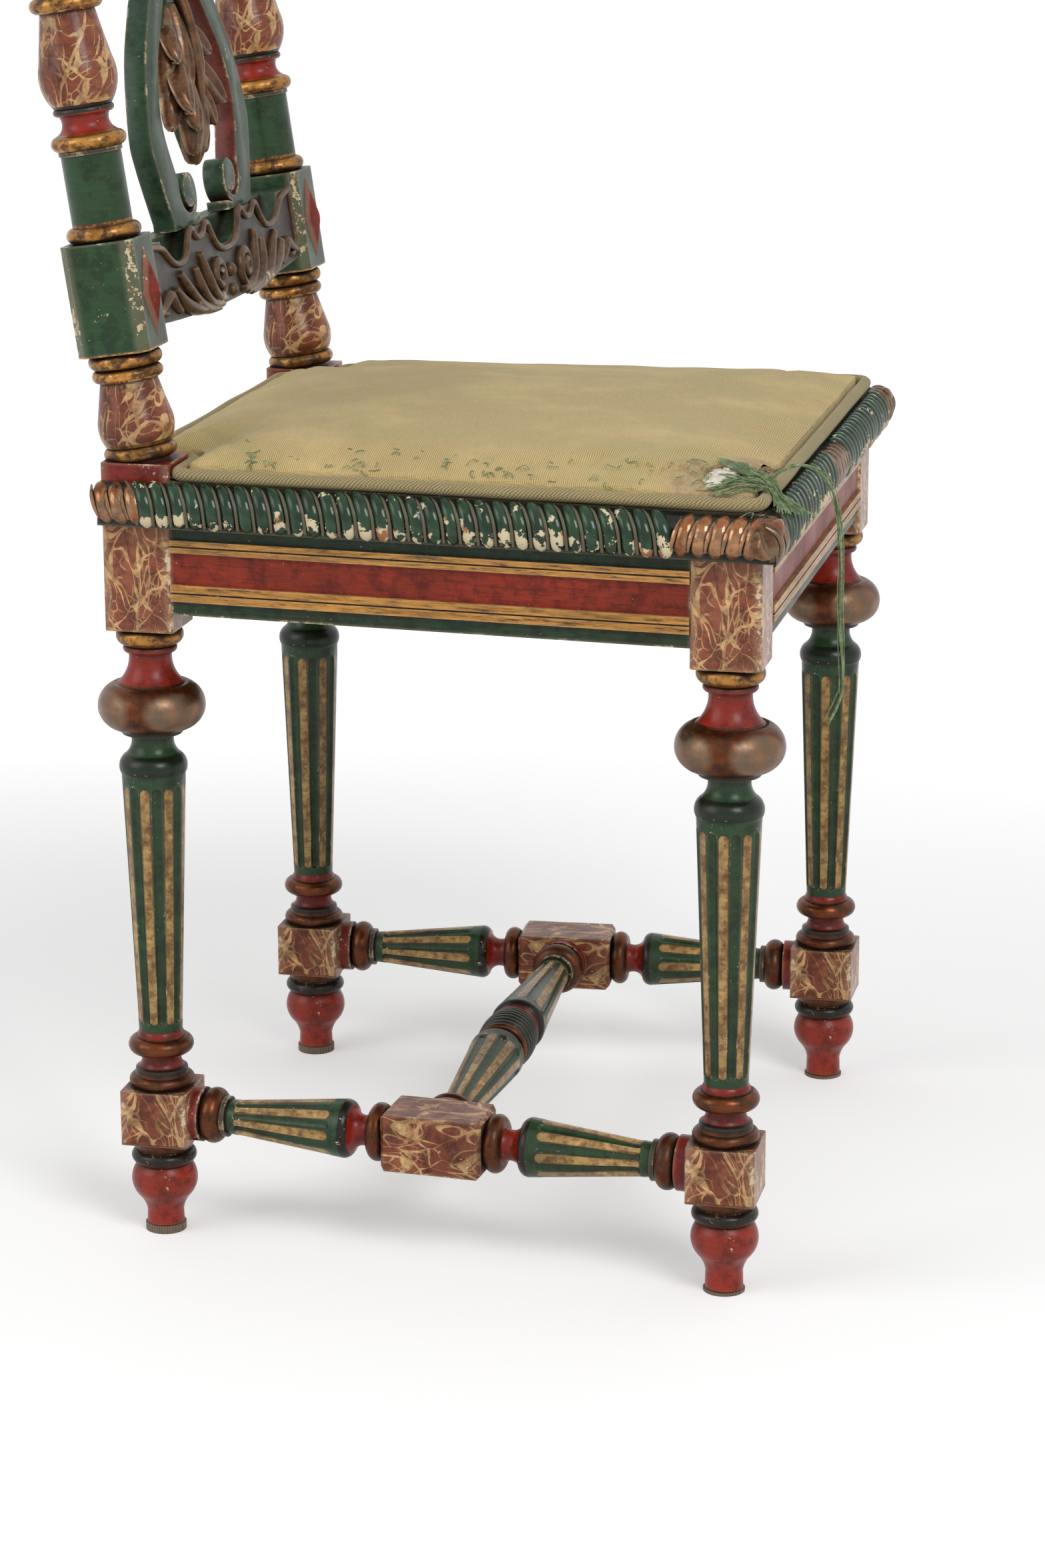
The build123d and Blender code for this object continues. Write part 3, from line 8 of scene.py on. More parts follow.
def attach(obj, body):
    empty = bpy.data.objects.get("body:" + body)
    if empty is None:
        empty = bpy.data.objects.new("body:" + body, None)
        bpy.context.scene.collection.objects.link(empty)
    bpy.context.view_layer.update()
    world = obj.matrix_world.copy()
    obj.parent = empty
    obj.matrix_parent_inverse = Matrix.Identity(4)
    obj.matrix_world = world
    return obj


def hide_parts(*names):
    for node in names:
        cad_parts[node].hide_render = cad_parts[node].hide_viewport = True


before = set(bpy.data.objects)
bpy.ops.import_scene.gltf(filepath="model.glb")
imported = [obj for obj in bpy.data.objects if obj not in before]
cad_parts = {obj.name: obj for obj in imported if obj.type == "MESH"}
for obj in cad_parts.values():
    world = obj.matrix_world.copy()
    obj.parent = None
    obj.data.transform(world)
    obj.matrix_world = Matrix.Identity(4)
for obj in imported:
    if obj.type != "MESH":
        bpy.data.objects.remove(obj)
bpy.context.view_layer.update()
print("frame loaded")

# places shared by several pieces, in metres
chair = {
    "frontHalf": 0.196,
    "rearHalf": 0.172,
    "frontY": -0.2106435,
    "rearY": 0.1433565,
    "legHalf": 0.02075,
    "bendZ": 0.470,
    "bandSplitZ": 0.4826,  # below it a rear post has the legs' bands, above it the raked ones
    "rake": math.radians(8.25),
    "stretcherZ": 0.077,
}
sides = {"right": -1, "left": 1}
middleY = (chair["frontY"] + chair["rearY"]) / 2
backUp = Vector((0, math.sin(chair["rake"]), math.cos(chair["rake"])))
backAhead = Vector((0, -math.cos(chair["rake"]), math.sin(chair["rake"])))
paint = {
    "marble": (0.205, 0.050, 0.025),
    "vein": (0.66, 0.43, 0.20),
    "red": (0.205, 0.015, 0.008),
    "brightRed": (0.27, 0.018, 0.009),
    "green": (0.019, 0.056, 0.021),
    "darkGreen": (0.008, 0.017, 0.009),
    "gold": (0.43, 0.205, 0.050),
    "bronze": (0.145, 0.040, 0.013),
    "black": (0.012, 0.008, 0.006),
    "glaze": (0.020, 0.010, 0.006),
    "gesso": (0.62, 0.50, 0.33),
    "fluteGold": (0.46, 0.29, 0.105),
    "fluteDark": (0.22, 0.115, 0.040),
    "footRed": (0.29, 0.028, 0.014),
}


def backPoint(x, along, ahead=0.0):
    # a point of the raked back, measured up the posts from their bend
    return Vector((x, chair["rearY"], chair["bendZ"])) + backUp * along + backAhead * ahead


def link(name, data):
    made = bpy.data.objects.new(name, data)
    bpy.context.scene.collection.objects.link(made)
    return made


camera = {
    "place": (-2.36761, -0.58243, 0.91292),
    "turn": -77.19375,
    "down": 15.2979,
    "roll": -0.16751,
    "lens": 91.34,
    "sensor": 36,
}
cameraData = bpy.data.cameras.new("camera")
cameraData.sensor_fit = "VERTICAL"
cameraData.sensor_height = camera["sensor"]
cameraData.lens = camera["lens"]
cameraObject = link("camera", cameraData)
cameraObject.matrix_world = (
    Matrix.Translation(camera["place"])
    @ Matrix.Rotation(math.radians(camera["turn"]), 4, "Z")
    @ Matrix.Rotation(math.radians(90 - camera["down"]), 4, "X")
    @ Matrix.Rotation(math.radians(camera["roll"]), 4, "Z")
)
bpy.context.scene.camera = cameraObject
bpy.context.scene.view_settings.view_transform = "Standard"


# node helpers
def feed(tree, node, inputs):
    # links each socket that is given and sets each value
    for name, value in inputs.items():
        socket = node.inputs[name]
        if isinstance(value, bpy.types.NodeSocket):
            tree.links.new(value, socket)
        elif socket.type == "RGBA" and len(value) == 3:
            socket.default_value = (*value, 1)
        else:
            socket.default_value = value


def put(tree, kind, inputs=None, **settings):
    made = tree.nodes.new(kind)
    for name, value in settings.items():
        setattr(made, name, value)
    feed(tree, made, inputs or {})
    return made


def maths(tree, operation, first, second=0.0, third=0.0, clamp=False):
    made = put(tree, "ShaderNodeMath", {0: first, 1: second, 2: third}, operation=operation, use_clamp=clamp)
    return made.outputs[0]


def blendColour(tree, share, first, second, how="MIX"):
    made = put(tree, "ShaderNodeMix", {0: share, 6: first, 7: second}, data_type="RGBA", blend_type=how)
    return made.outputs[2]


def blendValue(tree, share, first, second):
    made = put(tree, "ShaderNodeMix", {0: share, 2: first, 3: second}, data_type="FLOAT")
    return made.outputs[0]


def noiseNode(tree, coordinate, scale, detail, rough, warp=0.0):
    inputs = {"Vector": coordinate, "Scale": scale, "Detail": detail, "Roughness": rough, "Distortion": warp}
    return put(tree, "ShaderNodeTexNoise", inputs)


def noiseField(tree, coordinate, scale, detail, rough, warp=0.0):
    return noiseNode(tree, coordinate, scale, detail, rough, warp).outputs["Fac"]


def vectorMaths(tree, operation, first, second, slot=1):
    return put(tree, "ShaderNodeVectorMath", {0: first, slot: second}, operation=operation).outputs[0]


def nudged(tree, at, colour, amount):
    # moves a coordinate about by a noise's colour
    centred = vectorMaths(tree, "SUBTRACT", colour, (0.5, 0.5, 0.5))
    return vectorMaths(tree, "ADD", at, vectorMaths(tree, "SCALE", centred, amount, "Scale"))


def objectPlace(tree):
    return put(tree, "ShaderNodeTexCoord").outputs["Object"]


def stretched(tree, at, scale, **more):
    return put(tree, "ShaderNodeMapping", {"Vector": at, "Scale": scale, **more}).outputs[0]


def axisOf(tree, at, axis):
    return put(tree, "ShaderNodeSeparateXYZ", {0: at}).outputs[axis]


def hollowField(tree, reach, **settings):
    # how open the surface is round a point; inside=True finds outer edges instead of hollows
    inputs = {"Distance": reach}
    made = put(tree, "ShaderNodeAmbientOcclusion", inputs, samples=6, only_local=True, **settings)
    return made.outputs["AO"]


def addBump(tree, shader, height, strength, distance, **settings):
    inputs = {"Height": height, "Strength": strength, "Distance": distance}
    bump = put(tree, "ShaderNodeBump", inputs, **settings)
    tree.links.new(bump.outputs[0], shader.inputs["Normal"])


def spread(tree, value, low, high, newLow=0.0, newHigh=1.0, smooth=True):
    made = put(tree, "ShaderNodeMapRange", {0: value, 1: low, 2: high, 3: newLow, 4: newHigh})
    made.interpolation_type = "SMOOTHSTEP" if smooth else "LINEAR"
    return made.outputs[0]


def newGroup(name, inputs, outputs):
    group = bpy.data.node_groups.new(name, "ShaderNodeTree")
    for label, kind, value in inputs:
        socket = group.interface.new_socket(label, in_out="INPUT", socket_type="NodeSocket" + kind)
        if value is not None:
            socket.default_value = value
    for label, kind in outputs:
        group.interface.new_socket(label, in_out="OUTPUT", socket_type="NodeSocket" + kind)
    return group, group.nodes.new("NodeGroupInput"), group.nodes.new("NodeGroupOutput")


def useGroup(tree, group, inputs):
    return put(tree, "ShaderNodeGroup", inputs, node_tree=group)


gloss = {"specular": 0.22, "turningCoat": 0.08, "flatCoat": 0.05}


def newMaterial(name):
    material = bpy.data.materials.new(name)
    material.use_nodes = True
    tree = material.node_tree
    shader = tree.nodes["Principled BSDF"]
    shader.inputs["Specular IOR Level"].default_value = gloss["specular"]
    return material, tree, shader


# effects that several finishes share; sizes are noise scales, so a higher one is finer
marbling = {
    "stretch": (1.0, 1.0, 0.52),
    "slant": (0.70, 0.55, 0.30),
    "bends": 34,
    "wander": 0.038,
    "cells": 92,
    "smallCells": 180,
    "loops": 58,
    "breaks": 74,
    "strokes": 36,
    "clouds": 40,
    "paleGround": (0.32, 0.115, 0.058),
    "darkGround": (0.085, 0.020, 0.012),
    "darkVein": (0.40, 0.205, 0.085),
}


def makeMarbling():
    # broken, wandering cream veins on a streaked brick ground
    group, entry, leave = newGroup(
        "marbling",
        [("Vector", "Vector", None), ("Ground", "Color", None), ("Vein", "Color", None)],
        [("Color", "Color"), ("Veins", "Float")],
    )
    at = stretched(group, entry.outputs["Vector"], marbling["stretch"], Rotation=marbling["slant"])
    bend = noiseNode(group, at, marbling["bends"], 1.2, 0.45).outputs["Color"]
    moved = nudged(group, at, bend, marbling["wander"])
    inputs = {"Vector": moved, "Scale": marbling["cells"]}
    cells = put(group, "ShaderNodeTexVoronoi", inputs, feature="DISTANCE_TO_EDGE")
    inputs = {"Vector": moved, "Scale": marbling["smallCells"]}
    small = put(group, "ShaderNodeTexVoronoi", inputs, feature="DISTANCE_TO_EDGE")
    rings = noiseField(group, moved, marbling["loops"], 0.6, 0.4)
    breaks = noiseField(group, at, marbling["breaks"], 1.6, 0.5)
    thickness = spread(group, breaks, 0.34, 0.66, -0.008, 0.082)
    main = spread(group, maths(group, "SUBTRACT", cells.outputs["Distance"], thickness), 0.022, 0.004)
    thin = spread(group, maths(group, "SUBTRACT", small.outputs["Distance"], thickness), 0.004, -0.024)
    loop = spread(group, maths(group, "ABSOLUTE", maths(group, "SUBTRACT", rings, 0.51)), 0.015, 0.006)
    loop = maths(group, "MULTIPLY", loop, spread(group, breaks, 0.36, 0.48))
    veins = maths(group, "MAXIMUM", main, maths(group, "MULTIPLY", thin, 0.65))
    veins = maths(group, "MAXIMUM", veins, maths(group, "MULTIPLY", loop, 0.9))
    brushed = noiseField(group, stretched(group, moved, (5.0, 5.0, 1.0)), marbling["strokes"], 4, 0.7)
    cloud = noiseField(group, at, marbling["clouds"], 3, 0.6)
    pale = spread(group, cloud, 0.38, 0.70, 0.0, 0.8)
    ground = blendColour(group, pale, entry.outputs["Ground"], marbling["paleGround"])
    ground = blendColour(group, spread(group, brushed, 0.50, 0.70, 0.0, 0.8), ground, marbling["darkGround"])
    darker = spread(group, brushed, 0.42, 0.66)
    ochre = blendColour(group, darker, entry.outputs["Vein"], marbling["darkVein"])
    colour = blendColour(group, maths(group, "MULTIPLY", veins, 0.90), ground, ochre)
    feed(group, leave, {"Color": colour, "Veins": veins})
    return group


wearing = {
    "recessReach": 0.0065,
    "edgeReach": 0.0024,
    "flakes": 240,
    "patches": 38,
    "spots": 310,
    "strokes": 60,
    "tones": 22,
    "mottle": 105,
    "chipTones": 130,
    "flakeLimit": 0.83,
    "spotLimit": 0.73,
    "bareWood": (0.30, 0.135, 0.060),
}


def makeWear():
    # dark glaze in the recesses, rubbed and chipped edges, fine scuffs
    group, entry, leave = newGroup(
        "wear",
        [
            ("Vector", "Vector", None),
            ("Color", "Color", None),
            ("Glaze", "Color", None),
            ("Chip", "Color", None),
            ("Edge Chips", "Float", 0.5),
            ("Face Chips", "Float", 0.3),
            ("Recess", "Float", 0.8),
            ("Corners", "Float", 0.0),
        ],
        [
            ("Color", "Color"),
            ("Chips", "Float"),
            ("Recess", "Float"),
            ("Height", "Float"),
            ("Rough", "Float"),
        ],
    )
    at = entry.outputs["Vector"]
    recess = spread(group, hollowField(group, wearing["recessReach"]), 0.93, 0.45)
    recess = maths(group, "MULTIPLY", recess, entry.outputs["Recess"])
    edges = spread(group, hollowField(group, wearing["edgeReach"], inside=True), 0.93, 0.52)
    edges = maths(group, "MAXIMUM", edges, entry.outputs["Corners"])
    flakes = noiseField(group, at, wearing["flakes"], 4, 0.7)
    patches = noiseField(group, at, wearing["patches"], 2, 0.6)
    loss = maths(group, "MULTIPLY", edges, spread(group, patches, 0.36, 0.62, 0.12, 1.0))
    loss = maths(group, "MULTIPLY", loss, entry.outputs["Edge Chips"])
    edgeChips = maths(group, "MULTIPLY_ADD", loss, 0.52, flakes)
    edgeChips = maths(group, "GREATER_THAN", edgeChips, wearing["flakeLimit"])
    spots = noiseField(group, at, wearing["spots"], 3, 0.75)
    area = maths(group, "MULTIPLY", spread(group, patches, 0.5, 0.72), entry.outputs["Face Chips"])
    faceChips = maths(group, "MULTIPLY_ADD", area, 0.26, spots)
    faceChips = maths(group, "GREATER_THAN", faceChips, wearing["spotLimit"])
    chips = maths(group, "MAXIMUM", edgeChips, faceChips)
    brushed = noiseField(group, stretched(group, at, (1.0, 1.0, 7.0)), wearing["strokes"], 4, 0.7)
    tone = noiseField(group, at, wearing["tones"], 3, 0.6)
    glazed = spread(group, tone, 0.3, 0.72, 0.0, 0.38)
    colour = blendColour(group, glazed, entry.outputs["Color"], entry.outputs["Glaze"])
    lighter = blendColour(group, 1.0, colour, (1.32, 1.30, 1.24), "MULTIPLY")
    colour = blendColour(group, spread(group, brushed, 0.42, 0.68, 0.0, 0.75), colour, lighter)
    mottle = noiseField(group, at, wearing["mottle"], 4, 0.7)
    darker = blendColour(group, 1.0, colour, (0.36, 0.33, 0.31), "MULTIPLY")
    colour = blendColour(group, spread(group, mottle, 0.44, 0.64, 0.0, 0.70), colour, darker)
    rubbed = maths(group, "MULTIPLY", edges, 0.32)
    colour = blendColour(group, rubbed, colour, blendColour(group, 0.5, colour, entry.outputs["Chip"]))
    colour = blendColour(group, recess, colour, entry.outputs["Glaze"])
    chipTone = noiseField(group, at, wearing["chipTones"], 2, 0.5)
    bare = spread(group, chipTone, 0.5, 0.68)
    chipColour = blendColour(group, bare, entry.outputs["Chip"], wearing["bareWood"])
    colour = blendColour(group, maths(group, "MULTIPLY", chips, 0.92), colour, chipColour)
    height = maths(group, "MULTIPLY_ADD", chips, -0.55, maths(group, "MULTIPLY", brushed, 0.35))
    rough = maths(group, "MULTIPLY_ADD", chips, 0.35, spread(group, tone, 0.3, 0.7, 0.0, 0.12))
    rough = maths(group, "MULTIPLY_ADD", recess, 0.25, rough)
    feed(group, leave, {"Color": colour, "Chips": chips, "Recess": recess, "Height": height, "Rough": rough})
    return group


marblingGroup = makeMarbling()
wearGroup = makeWear()


def localPlace(tree, origin=(0, 0, 0), turn=(0, 0, 0)):
    # object coordinates moved and turned to a turning's own axis
    inputs = {"Vector": objectPlace(tree), "Location": origin, "Rotation": turn}
    return put(tree, "ShaderNodeMapping", inputs, vector_type="TEXTURE").outputs[0]


def wornPaint(tree, at, colour, edgeChips, faceChips, recess=0.9, corners=0.0):
    inputs = {
        "Vector": at,
        "Color": colour,
        "Glaze": paint["glaze"],
        "Chip": paint["gesso"],
        "Edge Chips": edgeChips,
        "Face Chips": faceChips,
        "Recess": recess,
        "Corners": corners,
    }
    return useGroup(tree, wearGroup, inputs)


def bandRamp(tree, position, bands, field):
    # one constant ramp: bands is a list of (upper end, finish)
    values = {
        "colour": lambda finish: (*paint[finish], 1),
        "marble": lambda finish: (1, 1, 1, 1) if finish == "marble" else (0, 0, 0, 1),
        "gilt": lambda finish: (1, 1, 1, 1) if finish in ("gold", "bronze") else (0, 0, 0, 1),
    }[field]
    high = bands[-1][0]
    ramp = put(tree, "ShaderNodeValToRGB", {0: spread(tree, position, 0.0, high, smooth=False)})
    ramp.color_ramp.interpolation = "CONSTANT"
    stops = ramp.color_ramp.elements
    stops.remove(stops[1])
    last = values(bands[0][1])
    stops[0].position = 0.0
    stops[0].color = last
    for (start, lower), (end, finish) in zip(bands, bands[1:]):
        value = values(finish)
        if value != last:
            stops.new(start / high).color = value
        last = value
    return ramp.outputs["Color"]


# round-ended flutes: how many, the plain end, size and half width at the thin and thick ends, and the width
# of the dark line at their edge, which is glaze and painted shade
flute = {"count": 8, "margin": 0.005, "narrow": (0.0034, 0.0029), "wide": (0.0046, 0.0035), "rim": 0.0007}


def bandFields(tree, local, bands, columns, mirrored=False):
    # colour, marble and gilt of a turning by the distance along its axis
    split = put(tree, "ShaderNodeSeparateXYZ", {0: local})
    along = split.outputs["Z"]
    if mirrored:
        along = maths(tree, "ABSOLUTE", along)
    colour = bandRamp(tree, along, bands, "colour")
    marble = bandRamp(tree, along, bands, "marble")
    gilt = bandRamp(tree, along, bands, "gilt")
    angle = maths(tree, "ARCTAN2", split.outputs["Y"], split.outputs["X"])
    across = maths(tree, "PINGPONG", angle, math.pi / flute["count"])
    for start, end, startRadius, endRadius in columns:
        # distance from the edge of a round-ended flute: gold inside, and along the edge a dark line that is
        # glaze and painted shade of the groove's wall
        (startSize, startHalf), (endSize, endHalf) = flute["narrow"], flute["wide"]
        if endRadius <= startRadius:
            (startSize, startHalf), (endSize, endHalf) = flute["wide"], flute["narrow"]
        wall = spread(tree, along, start, end, startRadius, endRadius, smooth=False)
        half = spread(tree, along, start, end, startHalf, endHalf, smooth=False)
        sideways = maths(tree, "MULTIPLY", across, wall)
        below = maths(tree, "SUBTRACT", start + flute["margin"] + startSize, along)
        above = maths(tree, "SUBTRACT", along, end - flute["margin"] - endSize)
        lengthways = maths(tree, "MAXIMUM", maths(tree, "MAXIMUM", below, above), 0.0)
        reach = put(tree, "ShaderNodeCombineXYZ", {"X": sideways, "Y": lengthways}).outputs[0]
        reach = put(tree, "ShaderNodeVectorMath", {0: reach}, operation="LENGTH").outputs["Value"]
        wobble = noiseField(tree, local, 160, 3, 0.65)
        drawn = maths(tree, "MULTIPLY_ADD", wobble, 0.0007, maths(tree, "SUBTRACT", half, 0.0006))
        edge = maths(tree, "SUBTRACT", reach, drawn)
        groove = maths(tree, "LESS_THAN", edge, 0.0)
        worn = blendColour(tree, spread(tree, wobble, 0.42, 0.66), paint["fluteGold"], paint["fluteDark"])
        colour = blendColour(tree, groove, colour, worn)
        # painted shade: this thin dark glaze line at the flute's edge stands partly for the shade of the
        # groove's wall
        rim = maths(tree, "ABSOLUTE", maths(tree, "ADD", edge, 0.0001))
        rim = spread(tree, rim, flute["rim"], 0.0, 0.0, 0.75)
        colour = blendColour(tree, rim, colour, paint["glaze"])
    return colour, marble, gilt


def blockCorners(tree, local):
    # how near a point is to an upright edge of a square block round the axis
    split = put(tree, "ShaderNodeSeparateXYZ", {0: local})
    sideways = maths(tree, "ABSOLUTE", split.outputs["X"])
    total = maths(tree, "ADD", sideways, maths(tree, "ABSOLUTE", split.outputs["Y"]))
    return spread(tree, total, 0.0345, 0.0405)


turning = {"edgeChips": 0.75, "faceChips": 0.45, "roughness": 0.26, "giltDirt": (0.060, 0.023, 0.009)}


def finishTurning(made, fields, local, corners=None):
    # closes a painted turning's material from its colour, marble and gilt
    material, tree, shader = made
    colour, marble, gilt = fields
    edgeChips = turning["edgeChips"]
    faceChips = turning["faceChips"]
    stone = useGroup(tree, marblingGroup, {"Vector": local, "Ground": paint["marble"], "Vein": paint["vein"]})
    colour = blendColour(tree, marble, colour, stone.outputs["Color"])
    leafTone = noiseField(tree, local, 130, 4, 0.7)
    rubbed = spread(tree, leafTone, 0.44, 0.62, 0.0, 0.90)
    colour = blendColour(tree, gilt, colour, blendColour(tree, rubbed, colour, turning["giltDirt"]))
    edgeLoss = maths(tree, "MULTIPLY_ADD", gilt, -0.85 * edgeChips, edgeChips)
    faceLoss = maths(tree, "MULTIPLY_ADD", gilt, -0.92 * faceChips, faceChips)
    if corners is None:
        corners = blockCorners(tree, local)
    wear = wornPaint(tree, local, colour, edgeLoss, faceLoss, corners=corners)
    bright = maths(tree, "MULTIPLY", gilt, maths(tree, "SUBTRACT", 1.0, wear.outputs["Chips"]), clamp=True)
    rough = maths(tree, "ADD", wear.outputs["Rough"], turning["roughness"])
    inputs = {
        "Base Color": wear.outputs["Color"],
        "Metallic": maths(tree, "MULTIPLY", bright, spread(tree, leafTone, 0.66, 0.40, 0.30, 0.90)),
        "Roughness": maths(tree, "MULTIPLY_ADD", gilt, 0.04, rough),
        "Coat Weight": gloss["turningCoat"],
        "Coat Roughness": 0.16,
    }
    feed(tree, shader, inputs)
    addBump(tree, shader, wear.outputs["Height"], 0.35, 0.0009)
    return material


legBands = [
    (0.0015, "black"), (0.0445, "footRed"), (0.0530, "black"), (0.0598, "bronze"), (0.0941, "marble"),
    (0.1016, "bronze"), (0.1058, "black"), (0.1151, "red"), (0.1256, "bronze"), (0.1300, "red"),
    (0.2916, "green"), (0.3036, "darkGreen"), (0.3140, "green"), (0.3192, "black"), (0.3472, "bronze"),
    (0.3662, "brightRed"), (0.3710, "red"), (0.3820, "gold"), (0.4700, "marble"), (0.4900, "red"),
]
legColumns = [(0.1296, 0.2916, 0.0132, 0.0192)]
postBands = [
    (0.0126, "red"), (0.0212, "gold"), (0.0592, "marble"), (0.0762, "gold"), (0.1412, "green"),
    (0.1502, "gold"), (0.1917, "green"), (0.1941, "black"), (0.2031, "gold"), (0.2141, "brightRed"),
    (0.2187, "black"), (0.2727, "marble"), (0.2817, "gold"), (0.4277, "green"), (0.4367, "gold"),
    (0.4477, "brightRed"), (0.4523, "black"), (0.5243, "green"), (0.5333, "gold"), (0.6000, "red"),
]
postColumns = [(0.2817, 0.4277, 0.0174, 0.0156)]


def legMaterial(name, x, y):
    made = newMaterial(name)
    local = localPlace(made[1], (x, y, 0))
    return finishTurning(made, bandFields(made[1], local, legBands, legColumns), local)


def postMaterial(name, x):
    made = newMaterial(name)
    tree = made[1]
    low = localPlace(tree, (x, chair["rearY"], 0))
    high = localPlace(tree, (x, chair["rearY"], chair["bendZ"]), (-chair["rake"], 0, 0))
    below = bandFields(tree, low, legBands, legColumns)
    above = bandFields(tree, high, postBands, postColumns)
    height = axisOf(tree, low, "Z")
    share = maths(tree, "GREATER_THAN", height, chair["bandSplitZ"])
    fields = [blendColour(tree, share, *pair) for pair in zip(below, above)]
    lowOnly = maths(tree, "MULTIPLY", blockCorners(tree, low), maths(tree, "SUBTRACT", 1.0, share))
    highOnly = maths(tree, "MULTIPLY", share, blockCorners(tree, high))
    return finishTurning(made, fields, low, corners=maths(tree, "MAXIMUM", lowOnly, highOnly))


def setMaterial(nodeName, material):
    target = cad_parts[nodeName]
    target.data.materials.clear()
    target.data.materials.append(material)


for sideName, side in sides.items():
    legPaint = legMaterial(f"frontLegPaint_{sideName}", side * chair["frontHalf"], chair["frontY"])
    setMaterial(f"front_leg_{sideName}", legPaint)
    setMaterial(f"rear_post_{sideName}", postMaterial(f"rearPostPaint_{sideName}", side * chair["rearHalf"]))
print("legs painted")


def stretcherMaterial(name, origin, turn, bands, columns):
    made = newMaterial(name)
    local = localPlace(made[1], origin, turn)
    return finishTurning(made, bandFields(made[1], local, bands, columns, mirrored=True), local)


sideRun = Vector((chair["rearHalf"] - chair["frontHalf"], chair["rearY"] - chair["frontY"], 0)).normalized()
sideBands = [
    (0.0315, "marble"), (0.0425, "bronze"), (0.0535, "brightRed"), (0.0585, "black"), (0.1330, "green"),
    (0.1362, "black"), (0.1492, "bronze"), (0.1700, "red"),
]
sideColumns = [(0.0585, 0.1337, 0.0180, 0.0103)]
middleBands = [
    (0.0140, "darkGreen"), (0.0190, "bronze"), (0.0260, "red"), (0.0310, "black"), (0.1420, "green"),
    (0.1452, "black"), (0.1582, "bronze"), (0.1800, "red"),
]
middleColumns = [(0.0310, 0.1430, 0.0180, 0.0103)]
for sideName, side in sides.items():
    centre = (side * (chair["frontHalf"] + chair["rearHalf"]) / 2, middleY, chair["stretcherZ"])
    heading = math.atan2(side * sideRun.x, sideRun.y)
    turned = (-math.pi / 2, 0, -heading)
    sidePaint = stretcherMaterial(f"sideStretcherPaint_{sideName}", centre, turned, sideBands, sideColumns)
    setMaterial(f"side_stretcher_{sideName}", sidePaint)
middleCentre = (0, middleY, chair["stretcherZ"])
turned = (0, math.pi / 2, 0)
middlePaint = stretcherMaterial("middleStretcherPaint", middleCentre, turned, middleBands, middleColumns)
setMaterial("middle_stretcher", middlePaint)


# finishes of the flat pieces
def paintedMaterial(name, colour, edgeChips, faceChips, roughness, gilt=0.0, scale=(1, 1, 1), grain=0.0):
    material, tree, shader = newMaterial(name)
    source = objectPlace(tree)
    local = stretched(tree, source, scale)
    leafTone = noiseField(tree, local, 120, 4, 0.7)
    ground = colour
    if gilt:
        ground = blendColour(tree, spread(tree, leafTone, 0.52, 0.68), colour, (0.075, 0.032, 0.012))
    if grain:
        lines = noiseField(tree, local, 300, 4, 0.7)
        dark = blendColour(tree, 1.0, colour, (0.42, 0.40, 0.40), "MULTIPLY")
        ground = blendColour(tree, spread(tree, lines, 0.52, 0.68, 0.0, grain), ground, dark)
    wear = wornPaint(tree, local if grain else source, ground, edgeChips, faceChips)
    inputs = {
        "Base Color": wear.outputs["Color"],
        "Roughness": maths(tree, "ADD", wear.outputs["Rough"], roughness),
        "Coat Weight": gloss["flatCoat"],
        "Coat Roughness": 0.22,
    }
    if gilt:
        clean = maths(tree, "SUBTRACT", 1.0, wear.outputs["Chips"])
        shine = spread(tree, leafTone, 0.62, 0.36, 0.2 * gilt, gilt)
        inputs["Metallic"] = maths(tree, "MULTIPLY", clean, shine)
    feed(tree, shader, inputs)
    addBump(tree, shader, wear.outputs["Height"], 0.35, 0.0009)
    return material


def gadroonMaterial():
    # glossy dark green, flaked to the gesso on the lobes' bellies, with some bare wood
    material, tree, shader = newMaterial("gadroonGreen")
    source = objectPlace(tree)
    height = axisOf(tree, source, "Z")
    low = spread(tree, height, 0.4640, 0.4505)
    flakes = noiseField(tree, source, 105, 4, 0.62)
    patches = noiseField(tree, source, 26, 2, 0.5)
    odds = maths(tree, "MULTIPLY", low, spread(tree, patches, 0.30, 0.55, 0.45, 1.0))
    chips = maths(tree, "GREATER_THAN", maths(tree, "MULTIPLY_ADD", odds, 0.175, flakes), 0.648)
    tone = noiseField(tree, source, 75, 3, 0.6)
    green = blendColour(tree, spread(tree, tone, 0.35, 0.65), (0.006, 0.022, 0.009), (0.016, 0.050, 0.020))
    recess = spread(tree, hollowField(tree, 0.004), 0.85, 0.40)
    green = blendColour(tree, recess, green, (0.006, 0.006, 0.004))
    bare = noiseField(tree, source, 95, 2, 0.5)
    chipColour = blendColour(tree, spread(tree, bare, 0.60, 0.66), (0.62, 0.52, 0.34), (0.33, 0.14, 0.060))
    inputs = {
        "Base Color": blendColour(tree, chips, green, chipColour),
        "Roughness": maths(tree, "MULTIPLY_ADD", chips, 0.45, 0.17),
        "Coat Weight": maths(tree, "MULTIPLY_ADD", chips, -0.24, 0.24),
        "Coat Roughness": 0.10,
    }
    feed(tree, shader, inputs)
    addBump(tree, shader, chips, 0.5, 0.0006, invert=True)
    return material


def backRailMaterial(name):
    # dark brown carved front, green cove and back
    material, tree, shader = newMaterial(name)
    source = objectPlace(tree)
    local = localPlace(tree, (0, chair["rearY"], chair["bendZ"]), (-chair["rake"], 0, 0))
    behind = axisOf(tree, local, "Y")
    front = maths(tree, "LESS_THAN", behind, -0.0152)
    tone = noiseField(tree, source, 90, 4, 0.65)
    green = blendColour(tree, spread(tree, tone, 0.35, 0.68), (0.020, 0.050, 0.026), (0.050, 0.085, 0.055))
    brown = blendColour(tree, spread(tree, tone, 0.35, 0.68), (0.020, 0.015, 0.012), (0.060, 0.045, 0.034))
    wear = wornPaint(tree, source, blendColour(tree, front, green, brown), 0.35, 0.12, recess=1.3)
    rough = maths(tree, "ADD", wear.outputs["Rough"], 0.34)
    feed(tree, shader, {"Base Color": wear.outputs["Color"], "Roughness": rough})
    return material


